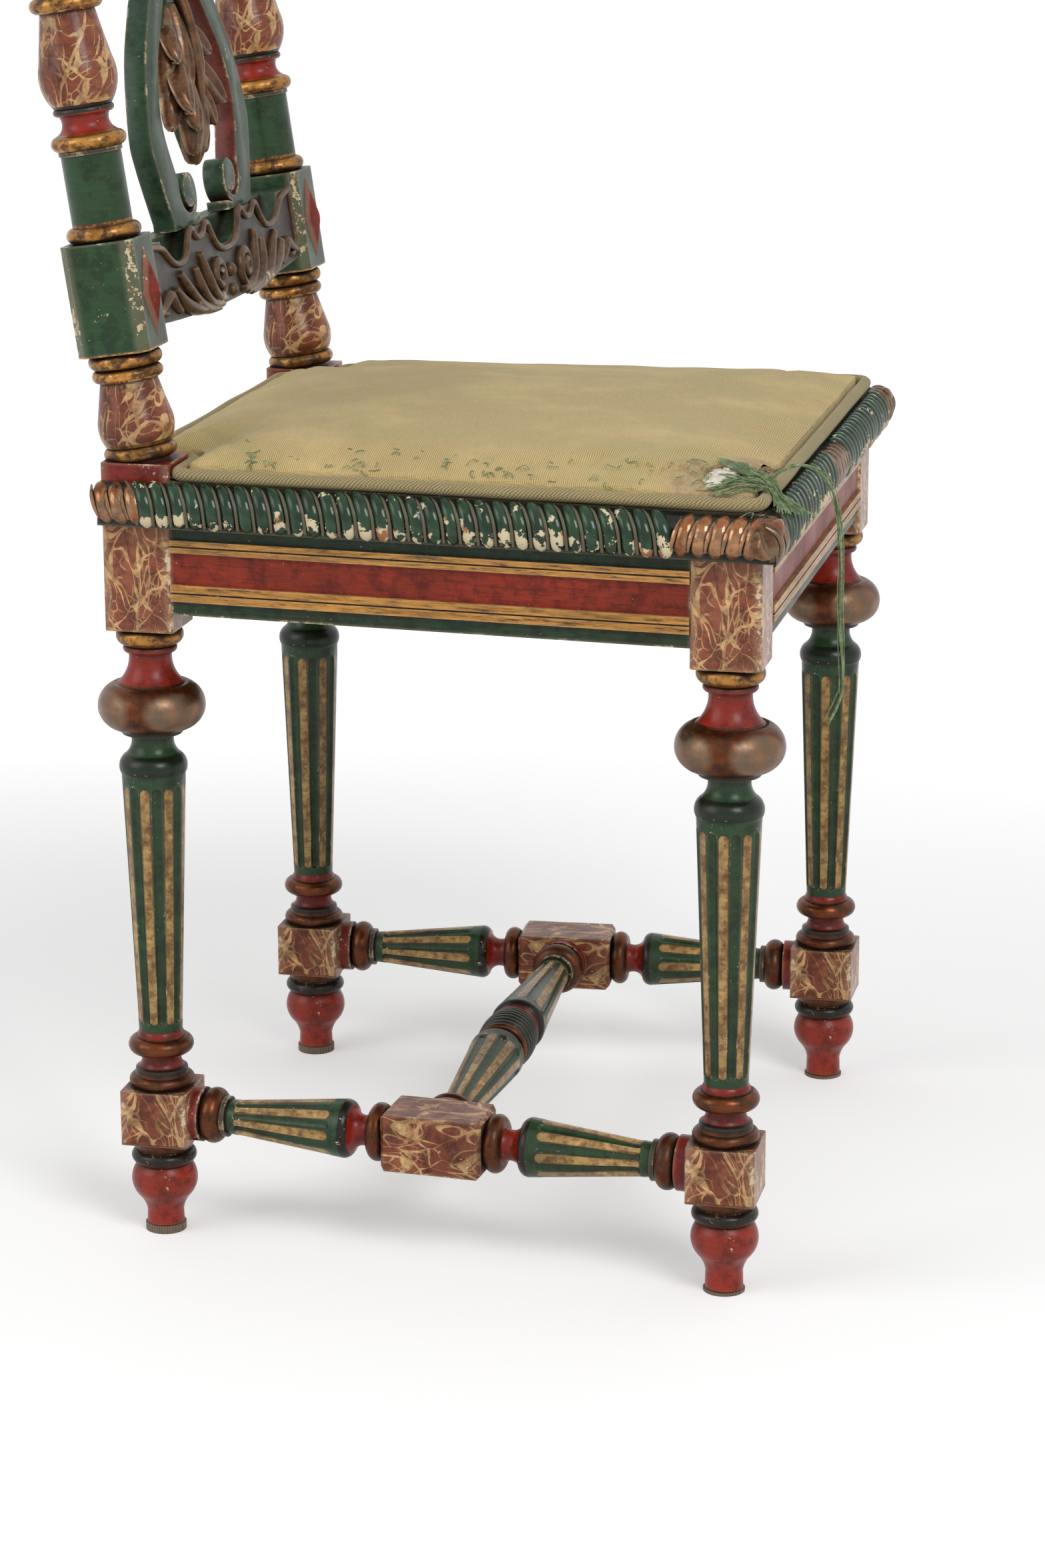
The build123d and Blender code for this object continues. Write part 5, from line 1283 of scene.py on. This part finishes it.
# worn hole: batting, frayed fibres and pulled threads
hole = {"fibres": 260, "bundle": 120, "tufts": 110}


def seededValue(index, salt):
    # repeatable value from 0 to 1
    value = math.sin(index * 12.9898 + salt * 78.233) * 43758.5453
    return value - math.floor(value)


def padTop(x, y):
    return crownHeight(x, y, seatPlan)[0]


def plainFibre(name, light, dark):
    material, tree, shader = newMaterial(name)
    source = objectPlace(tree)
    tone = noiseField(tree, source, 260, 3, 0.7)
    colour = blendColour(tree, spread(tree, tone, 0.35, 0.65), dark, light)
    feed(tree, shader, {"Base Color": colour, "Roughness": 0.9, "Sheen Weight": 0.3})
    addBump(tree, shader, tone, 0.4, 0.0005)
    return material


battingWhite = plainFibre("battingWhite", (0.74, 0.69, 0.60), (0.50, 0.42, 0.31))
sageThread = plainFibre("sageThread", (0.26, 0.33, 0.165), (0.095, 0.145, 0.062))
tanThread = plainFibre("tanThread", (0.40, 0.28, 0.13), (0.22, 0.14, 0.06))


def makeBatting():
    # lumpy filling that shows in the holes
    parts = []
    for x, y, wide, deep, drop in (
        (-0.185, -0.2010, 0.0180, 0.0095, 0.0050),
        (-0.168, -0.2045, 0.0100, 0.0080, 0.0052),
        (-0.136, -0.2195, 0.0090, 0.0036, 0.0080),
    ):
        clearSelection()
        bpy.ops.mesh.primitive_ico_sphere_add(subdivisions=5, radius=1, location=(x, y, padTop(x, y) - drop))
        puff = bpy.context.object
        puff.scale = (wide, deep, 0.0062)
        bpy.ops.object.transform_apply(location=True, rotation=True, scale=True)
        for vertex in puff.data.vertices:
            vertex.co.z += noise.noise(vertex.co * 210) * 0.0020 + noise.noise(vertex.co * 620) * 0.0009
        parts.append(puff)
    made = joinAll("batting", parts)
    return finishPiece(made, "olive_twill", battingWhite, shade=80)


def overEdge(x, y):
    # height of what lies under a thread: pad, welt or moulding
    depth = distanceInside(x, y, seatPlan)
    if insideWelt(x, y):
        return padTop(x, y) if depth > 0.001 else 0.4845
    if depth < 0.009:
        return 0.4813
    return 0.4735 - max(0.0, depth - 0.012) * 0.55


def insideWelt(x, y):
    frontY = chair["frontY"] - seat["insideEdge"]
    return y > frontY and abs(x) < legLineX(y, seat["insideEdge"])


def makeFibres():
    parts = []
    for index in range(hole["fibres"]):
        turn = 2 * math.pi * seededValue(index, 1)
        centre, (halfLong, halfWide) = tearHoles[0 if index % 3 else 1]
        x = centre.x + math.cos(turn) * halfLong * (1.0 + 0.35 * seededValue(index, 2))
        y = centre.y + math.sin(turn) * halfWide * (1.0 + 0.35 * seededValue(index, 2))
        lean = turn + math.pi + 1.4 * (seededValue(index, 3) - 0.5)
        reach = 0.003 + 0.006 * seededValue(index, 4)
        points = []
        for step in range(4):
            share = step / 3
            px = x + math.cos(lean + share * 0.8) * reach * share
            py = y + math.sin(lean + share * 0.8) * reach * share
            lift = 0.0005 + 0.0022 * share * seededValue(index, 5)
            points.append((px, py, padTop(px, py) - 0.0020 + lift))
        parts.append(roundStrand("fibre", points, 0.00022, 0, 2))
    made = joinAll("frayed_fibres", parts)
    return finishPiece(made, "thread", tanThread, shade=80)


threadRoute = [
    (-0.1770, -0.2210, 0.4815), (-0.1740, -0.2370, 0.4925), (-0.1680, -0.2520, 0.4930),
    (-0.1630, -0.2620, 0.4810), (-0.1620, -0.2670, 0.4590), (-0.1610, -0.2680, 0.4300),
    (-0.1600, -0.2670, 0.4000), (-0.1590, -0.2700, 0.3720), (-0.1605, -0.2690, 0.3530),
    (-0.1640, -0.2620, 0.3410),
]


def splinePoints():
    # the route of the long thread, as its own spline gives it
    made = curveObject("thread_route", threadRoute, 0.0, 3, 12)
    mesh = bpy.data.meshes.new_from_object(made)
    points = [tuple(vertex.co) for vertex in mesh.vertices]
    bpy.data.meshes.remove(mesh)
    bpy.data.objects.remove(made)
    return points


def makeBundle():
    # green threads pulled out of the hole, over the welt, with loose ends on the moulding
    spines = (
        [
            (-0.150, -0.2015), (-0.162, -0.2105), (-0.172, -0.2190), (-0.179, -0.2275),
            (-0.185, -0.2350), (-0.188, -0.2415), (-0.190, -0.2470),
        ],
        [
            (-0.207, -0.1965), (-0.2035, -0.2060), (-0.198, -0.2150), (-0.192, -0.2235),
            (-0.188, -0.2310), (-0.186, -0.2385), (-0.187, -0.2450),
        ],
    )
    parts = []
    for index in range(hole["bundle"]):
        spine = spines[int(index % 4 == 0)]
        side = seededValue(index, 6) - 0.5
        begin = 0.9 * seededValue(index, 7)
        finish = 6 - 1.3 * seededValue(index, 8)
        points = []
        for step in range(9):
            place = begin + (finish - begin) * step / 8
            seg = min(int(place), 5)
            here = Vector(spine[seg]).lerp(Vector(spine[seg + 1]), place - seg)
            ahead = (Vector(spine[seg + 1]) - Vector(spine[seg])).normalized()
            across = Vector((-ahead.y, ahead.x))
            width = 0.0066 + 0.012 * abs(place / 6 - 0.55) ** 1.3
            width += 0.008 * max(0.0, place - 4.4)
            curl = 0.0018 * math.sin(place * 2.1 + index * 1.7)
            spot = here + across * (side * 2 * width + curl)
            lift = 0.0012 + 0.0034 * seededValue(index, 9) * math.sin(math.pi * step / 8)
            points.append((spot.x, spot.y, overEdge(spot.x, spot.y) + lift))
        radius = 0.00024 + 0.00016 * seededValue(index, 10)
        parts.append(roundStrand("strand", points, radius, 0, 3))
    for index in range(hole["tufts"]):
        # short ends scattered over the worn patch and along the welt
        if index < 26:
            x = -0.225 + 0.075 * seededValue(index, 11)
            y = -0.232 + 0.048 * seededValue(index, 12)
        else:
            y = -0.225 + 0.31 * seededValue(index, 11)
            x = -legLineX(y, seat["insideEdge"]) + 0.003 + 0.030 * seededValue(index, 12) ** 2
        turn = 2 * math.pi * seededValue(index, 13)
        reach = 0.0025 + 0.0055 * seededValue(index, 14)
        points = []
        for step in range(4):
            share = step / 3
            px = x + math.cos(turn + share * 1.6) * reach * share
            py = y + math.sin(turn + share * 1.6) * reach * share
            points.append((px, py, overEdge(px, py) + 0.0004 + 0.0012 * math.sin(math.pi * share)))
        parts.append(roundStrand("tuft", points, 0.00030, 0, 2))
    route = splinePoints()
    for index in range(4):
        # thinner strands that hang beside the long thread
        points = []
        for step in range(1, 12 - int(index > 1)):
            x, y, z = route[round((len(route) - 1) * step / 11)]
            apart = 0.0011 + 0.0016 * seededValue(index, step + 20)
            turn = index * 1.57 + step * 0.55
            points.append((x + math.cos(turn) * apart, max(y + math.sin(turn) * apart, -0.2702), z + 0.0012))
        parts.append(roundStrand("strand", points, 0.00034, 1, 3))
    made = joinAll("pulled_threads", parts)
    return finishPiece(made, "thread", sageThread, shade=80)


makeBatting()
makeFibres()
makeBundle()
looseThread = curveObject("hanging_thread", threadRoute, 0.0008, 3, 12)
looseThread.data.materials.append(sageThread)
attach(looseThread, "root")
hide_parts("loose_thread")
print("threads laid")


# lyre splat
lyre = {
    "railTop": 0.132,
    "height": 0.3283,
    "back": -0.0015,
    "front": 0.0125,
    "eye": (0.0435, 0.1540),
    "steps": 34,
}


def splatRise(share):
    return lyre["railTop"] + lyre["height"] * share


# the arm's two edges, as distances from the middle and heights along the back
outerCurve = [
    (0.080, 0.138), (0.096, splatRise(0.13)), (0.098, splatRise(0.19)), (0.085, splatRise(0.31)),
    (0.064, splatRise(0.40)), (0.041, splatRise(0.49)), (0.050, splatRise(0.60)), (0.078, splatRise(0.75)),
    (0.104, splatRise(0.93)), (0.104, 0.4603),
]
innerCurve = [
    (0.0606, 0.1612), (0.073, splatRise(0.19)), (0.065, splatRise(0.29)), (0.044, splatRise(0.375)),
    (0.021, splatRise(0.48)), (0.027, splatRise(0.61)), (0.058, splatRise(0.76)), (0.084, splatRise(0.93)),
    (0.084, 0.4603),
]


def sweep(centreX, centreAlong, firstTurn, lastTurn, firstRadius, lastRadius, count):
    # points of a spiral, with angles in degrees from the outer side
    made = []
    for step in range(count):
        share = step / (count - 1)
        turn = math.radians(firstTurn + (lastTurn - firstTurn) * share)
        radius = firstRadius + (lastRadius - firstRadius) * share
        made.append((centreX + math.cos(turn) * radius, centreAlong + math.sin(turn) * radius))
    return made


def plateFrom(name, outline, side, low, high, redEdges):
    # board in the plane of the back, with some of its edges on the second finish
    mesh = bmesh.new()
    backs = [mesh.verts.new(backPoint(side * x, along, low)) for x, along in outline]
    fronts = [mesh.verts.new(backPoint(side * x, along, high)) for x, along in outline]
    mesh.faces.new(backs)
    mesh.faces.new(list(reversed(fronts)))
    for index in range(len(outline)):
        following = (index + 1) % len(outline)
        face = mesh.faces.new((backs[index], fronts[index], fronts[following], backs[following]))
        face.material_index = int(index in redEdges)
    made = fromBmesh(name, mesh)
    limit = math.radians(40)
    applyModifier(made, "bevel", "BEVEL", width=0.0013, segments=2, limit_method="ANGLE", angle_limit=limit)
    return made


def makeArm(sideName, side):
    # flat scrolled arm, green with a red inner edge, and the open curl of its volute
    outer, inner = (
        [tuple(spot.xy) for spot in smoothLine([(x, along, 0) for x, along in curve], lyre["steps"])]
        for curve in (outerCurve, innerCurve)
    )
    inner.reverse()
    eye = lyre["eye"]
    slotOut = sweep(*eye, 22, -128, 0.0184, 0.0122, 16)
    slotIn = sweep(*eye, -132, 76, 0.0114, 0.0086, 18)
    disc = sweep(*eye, 92, 262, 0.0098, 0.0178, 18)
    foot = [(0.0290, 0.1385), (0.0290, 0.1325), (0.0800, 0.1325)]
    outline = outer + inner + slotOut + slotIn + disc + foot
    firstRed = len(outer)
    red = set(range(firstRed, firstRed + len(inner) + len(slotOut) + 4))
    made = plateFrom(f"lyre_scroll_{sideName}", outline, side, lyre["back"], lyre["front"], red)
    finishPiece(made, "green_paint", finishes["armGreen"], finishes["armRed"], shade=34)
    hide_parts(f"lyre_arm_{sideName}")


for sideName, side in sides.items():
    makeArm(sideName, side)
print("lyre arms carved")


# carved leaf work
def makePetal(name, length, width, curl, depth=0.0030, arch=1.5):
    # fluted leaf lobe lying along +Y: a hollow middle between two rolled sides, its tip curling up
    clearSelection()
    bpy.ops.mesh.primitive_grid_add(x_subdivisions=8, y_subdivisions=10, size=1)
    petal = bpy.context.object
    petal.name = name
    for vertex in petal.data.vertices:
        across = vertex.co.x * 2
        share = vertex.co.y + 0.5
        half = width / 2 * (0.45 + 0.75 * math.sin(math.pi * min(1.0, share * 0.70 + 0.08)) ** 0.8)
        half *= math.sqrt(max(0.02, 1 - share**5))
        rolled = depth * (math.sin(math.pi * abs(across)) ** 0.9 - 1.7 * abs(across) ** 5)
        rise = depth * arch * math.sin(math.pi * share) + curl * share**2.4
        vertex.co = (across * half, share * length, rise + rolled * (1 - 0.5 * share**3))
    applyModifier(petal, "thick", "SOLIDIFY", thickness=0.0026, offset=-1)
    applyModifier(petal, "soft", "SUBSURF", levels=1, render_levels=1)
    return petal


def placeOnBack(petal, x, along, ahead, turn):
    # turn is measured from straight up, towards +X
    upright = Matrix((Vector((1, 0, 0)), backUp, backAhead)).transposed().to_4x4()
    place = Matrix.Translation(backPoint(x, along, ahead))
    petal.matrix_world = place @ upright @ Matrix.Rotation(-turn, 4, "Z")
    return petal


leafLobes = [
    # x, along, ahead, turn in degrees, length, width, curl, depth
    (0.000, 0.224, 0.0070, 180, 0.060, 0.026, -0.002, 0.0062),
    (0.004, 0.264, 0.0060, 172, 0.062, 0.022, 0.004, 0.0060),
    (0.007, 0.262, 0.0030, 158, 0.060, 0.022, 0.000, 0.0055),
    (0.008, 0.232, 0.0070, 140, 0.044, 0.022, 0.012, 0.0050),
    (0.006, 0.216, 0.0090, 158, 0.032, 0.016, 0.007, 0.0045),
    (0.015, 0.222, 0.0020, 152, 0.038, 0.017, 0.002, 0.0045),
    (0.004, 0.204, 0.0060, 168, 0.034, 0.016, 0.003, 0.0045),
    (0.009, 0.252, 0.0050, 132, 0.034, 0.018, 0.010, 0.0045),
]
parts = []
for index, (x, along, ahead, turn, length, width, curl, depth) in enumerate(leafLobes):
    for side in ((1,) if x == 0 else (1, -1)):
        petal = makePetal("lobe", length, width, curl, depth, 0.9)
        parts.append(placeOnBack(petal, side * x, along, ahead, side * math.radians(turn)))
stemLine = [
    # along, ahead, radius
    (0.287, 0.006, 0.0050), (0.268, 0.012, 0.0046), (0.246, 0.0165, 0.0036),
    (0.222, 0.0165, 0.0034), (0.196, 0.0145, 0.0030), (0.172, 0.009, 0.0014),
]
stem = [backPoint(0, along, ahead) for along, ahead, radius in stemLine]
parts.append(roundStrand("stem", stem, [radius for *_, radius in stemLine], 2, 5))
acanthus = joinAll("acanthus_leaf", parts)
finishPiece(acanthus, "gilt_paint", finishes["carvedBronze"], shade=60)
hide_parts("acanthus_drop")
print("acanthus carved")


# lower back rail: shaped top, raised border and scrolled carving
rail = {"front": 0.016, "half": 0.150}
railBorder = [
    (0.000, 0.1118), (0.014, 0.1135), (0.023, 0.1185), (0.029, 0.1265), (0.033, 0.1320), (0.039, 0.1325),
    (0.043, 0.1270), (0.052, 0.1250), (0.060, 0.1270), (0.064, 0.1325), (0.070, 0.1320), (0.075, 0.1250),
    (0.083, 0.1165), (0.095, 0.1140), (0.108, 0.1165), (0.118, 0.1230), (0.126, 0.1290), (0.1485, 0.1310),
]


def lieOn(points, ahead):
    return [backPoint(x, along, ahead) for x, along in points]


def mirrored(points, side):
    return [(side * x, along) for x, along in points]


whole = mirrored(reversed(railBorder), -1) + railBorder[1:]
parts = [roundStrand("border", lieOn(whole, rail["front"] + 0.0006), 0.0023, 2, 4)]
railEnd = [(0.1475, 0.131), (0.1475, 0.110), (0.1475, 0.0915), (0.1330, 0.0900)]
for side in (1, -1):
    parts.append(roundStrand("end", lieOn(mirrored(railEnd, side), rail["front"] + 0.0004), 0.0020, 2, 4))


def scroll(centreX, centreAlong, radius, start, turns, side, thick, tail=()):
    # spiral that ends in a long tail: the tail comes first, as (x, along) places
    points = lieOn(tail, rail["front"] + 0.0010)
    radii = [thick * 0.55 + thick * 0.45 * index / max(1, len(tail)) for index in range(len(tail))]
    for step in range(20):
        share = step / 19
        turn = start + side * turns * 2 * math.pi * share
        reach = radius * (1 - 0.80 * share)
        place = (centreX + math.cos(turn) * reach, centreAlong + math.sin(turn) * reach)
        points.append(backPoint(*place, rail["front"] + 0.0012 + 0.0018 * share))
        radii.append(thick * (1 - 0.25 * share))
    return roundStrand("scroll", points, radii, 2, 3)


def blade(points, thick):
    # long carved leaf that swells in the middle
    radii = []
    for index in range(len(points)):
        swell = math.sin(math.pi * (index + 0.35) / (len(points) - 0.3)) ** 0.8
        radii.append(thick * (0.35 + 0.75 * swell))
    return roundStrand("blade", lieOn(points, rail["front"] + thick * 0.25), radii, 2, 4)


railBlades = [
    [(0.020, 0.0835), (0.034, 0.0845), (0.045, 0.0920), (0.051, 0.1030), (0.057, 0.1160)],
    [(0.026, 0.0815), (0.046, 0.0820), (0.060, 0.0890), (0.068, 0.1000), (0.070, 0.1090)],
    [(0.034, 0.0800), (0.058, 0.0815), (0.076, 0.0880), (0.088, 0.0980), (0.100, 0.1095)],
    [(0.044, 0.0810), (0.072, 0.0835), (0.094, 0.0885), (0.106, 0.0950), (0.113, 0.1020)],
]
railTail = [(0.052, 0.0810), (0.038, 0.0815), (0.026, 0.0850), (0.0185, 0.0915)]
railArrow = [(0.108, 0.0880), (0.118, 0.0930), (0.124, 0.1010), (0.133, 0.0965), (0.146, 0.0915)]
for side in (1, -1):
    start = math.pi if side > 0 else 0.0
    tail = mirrored(railTail, side)
    parts.append(scroll(side * 0.0280, 0.0985, 0.0100, start, 1.35, -side, 0.0034, tail))
    for points in railBlades:
        parts.append(blade(mirrored(points, side), 0.0042))
    parts.append(blade(mirrored(railArrow, side), 0.0036))
for along, radius in ((0.0985, 0.0046), (0.0860, 0.0040)):
    clearSelection()
    place = backPoint(0, along, rail["front"])
    bpy.ops.mesh.primitive_uv_sphere_add(segments=16, ring_count=10, radius=radius, location=place)
    parts.append(bpy.context.object)
railCarving = joinAll("rail_carving", parts)
finishPiece(railCarving, "gilt_paint", finishes["railBrown"], shade=60)
print("rail carved")


# crest rail trim and cartouche
crest = {"bottom": 0.4603, "end": 0.5163, "rise": 0.040, "cartouche": 0.5083, "rayRing": (0.030, 0.031)}
crestX = [-rail["half"] + 2 * rail["half"] * index / 30 for index in range(31)]
crestRadius = (rail["half"] ** 2 + crest["rise"] ** 2) / (2 * crest["rise"])


def crestTop(x):
    return crest["end"] + math.sqrt(crestRadius**2 - x * x) - (crestRadius - crest["rise"])


topLine = [(x, crestTop(x) - 0.0035) for x in crestX]
lowLine = [(x, crest["bottom"] + 0.0035) for x in crestX[::3]]
parts = [
    roundStrand("crestTop", lieOn(topLine, rail["front"] + 0.0004), 0.0034, 2, 2),
    roundStrand("crestLow", lieOn(lowLine, rail["front"] + 0.0004), 0.0030, 2, 2),
]
wide, high = crest["rayRing"]
for index in range(14):
    turn = 2 * math.pi * index / 14
    petal = makePetal("ray", 0.016 if index % 2 else 0.020, 0.010, 0.002, 0.0024)
    along = crest["cartouche"] + high * math.cos(turn)
    parts.append(placeOnBack(petal, wide * math.sin(turn), along, rail["front"] + 0.0002, turn))
crestLeaves = [
    # x, along, turn in degrees, length, width
    (0.080, 0.512, 60, 0.034, 0.012), (0.086, 0.478, 80, 0.034, 0.012), (0.112, 0.498, 50, 0.026, 0.011),
    (0.122, 0.478, 90, 0.024, 0.010), (0.060, 0.476, 100, 0.028, 0.011),
]
for side in (1, -1):
    parts.append(scroll(side * 0.068, 0.497, 0.0150, math.pi, 1.25, side, 0.0040))
    parts.append(scroll(side * 0.102, 0.484, 0.0120, 0.0, 1.2, -side, 0.0036))
    for x, along, turn, length, width in crestLeaves:
        petal = makePetal("crestLeaf", length, width, 0.003, 0.0024)
        parts.append(placeOnBack(petal, side * x, along, rail["front"] - 0.0002, side * math.radians(turn)))
crestCarving = joinAll("crest_carving", parts)
finishPiece(crestCarving, "gilt_paint", finishes["railBrown"], shade=60)
print("crest carved")


# studio
studio = {
    "floorSize": 60.0,
    "floorColour": 0.80,
    "keyPower": 44.0,
    "fillPower": 22.0,
    "world": 0.58,
    "nearGlow": 0.26,
    "farGlow": 0.60,
    "nearReach": 0.5,
    "farReach": 1.8,
}


def seenRays(tree):
    # 1 for what the camera, mirrors and glass show, 0 for what lights other things
    rays = put(tree, "ShaderNodeLightPath")
    seen = maths(tree, "MAXIMUM", rays.outputs["Is Camera Ray"], rays.outputs["Is Glossy Ray"])
    return maths(tree, "MAXIMUM", seen, rays.outputs["Is Transmission Ray"])


clearSelection()
bpy.ops.mesh.primitive_plane_add(size=studio["floorSize"])
floor = bpy.context.object
floor.name = "studio_floor"
floorMaterial, floorTree, floorShader = newMaterial("studioFloor")
floorPlace = objectPlace(floorTree)
reach = put(floorTree, "ShaderNodeVectorMath", {0: floorPlace}, operation="LENGTH").outputs["Value"]
glow = (studio["nearReach"], studio["farReach"], studio["nearGlow"], studio["farGlow"])
floorInputs = {
    "Base Color": (studio["floorColour"],) * 3,
    "Roughness": 0.9,
    "Specular IOR Level": 0.0,
    "Emission Color": (1, 1, 1),
    "Emission Strength": maths(floorTree, "MULTIPLY", spread(floorTree, reach, *glow), seenRays(floorTree)),
}
feed(floorTree, floorShader, floorInputs)
floor.data.materials.append(floorMaterial)


def addLamp(name, place, aim, size, power):
    data = bpy.data.lights.new(name, "AREA")
    data.size = size
    data.energy = power
    lamp = link(name, data)
    lamp.location = place
    lamp.rotation_euler = (Vector(aim) - Vector(place)).to_track_quat("-Z", "Y").to_euler()
    return lamp


addLamp("key", (-1.9, -1.7, 2.3), (0, 0, 0.4), 1.2, studio["keyPower"])
addLamp("fill", (-1.6, 2.0, 1.7), (0, 0, 0.4), 1.6, studio["fillPower"])
world = bpy.data.worlds.new("studio")
bpy.context.scene.world = world
world.use_nodes = True
worldTree = world.node_tree
strength = blendValue(worldTree, seenRays(worldTree), studio["world"], 1.0)
feed(worldTree, worldTree.nodes["Background"], {"Color": (1, 1, 1), "Strength": strength})
print("studio lit")
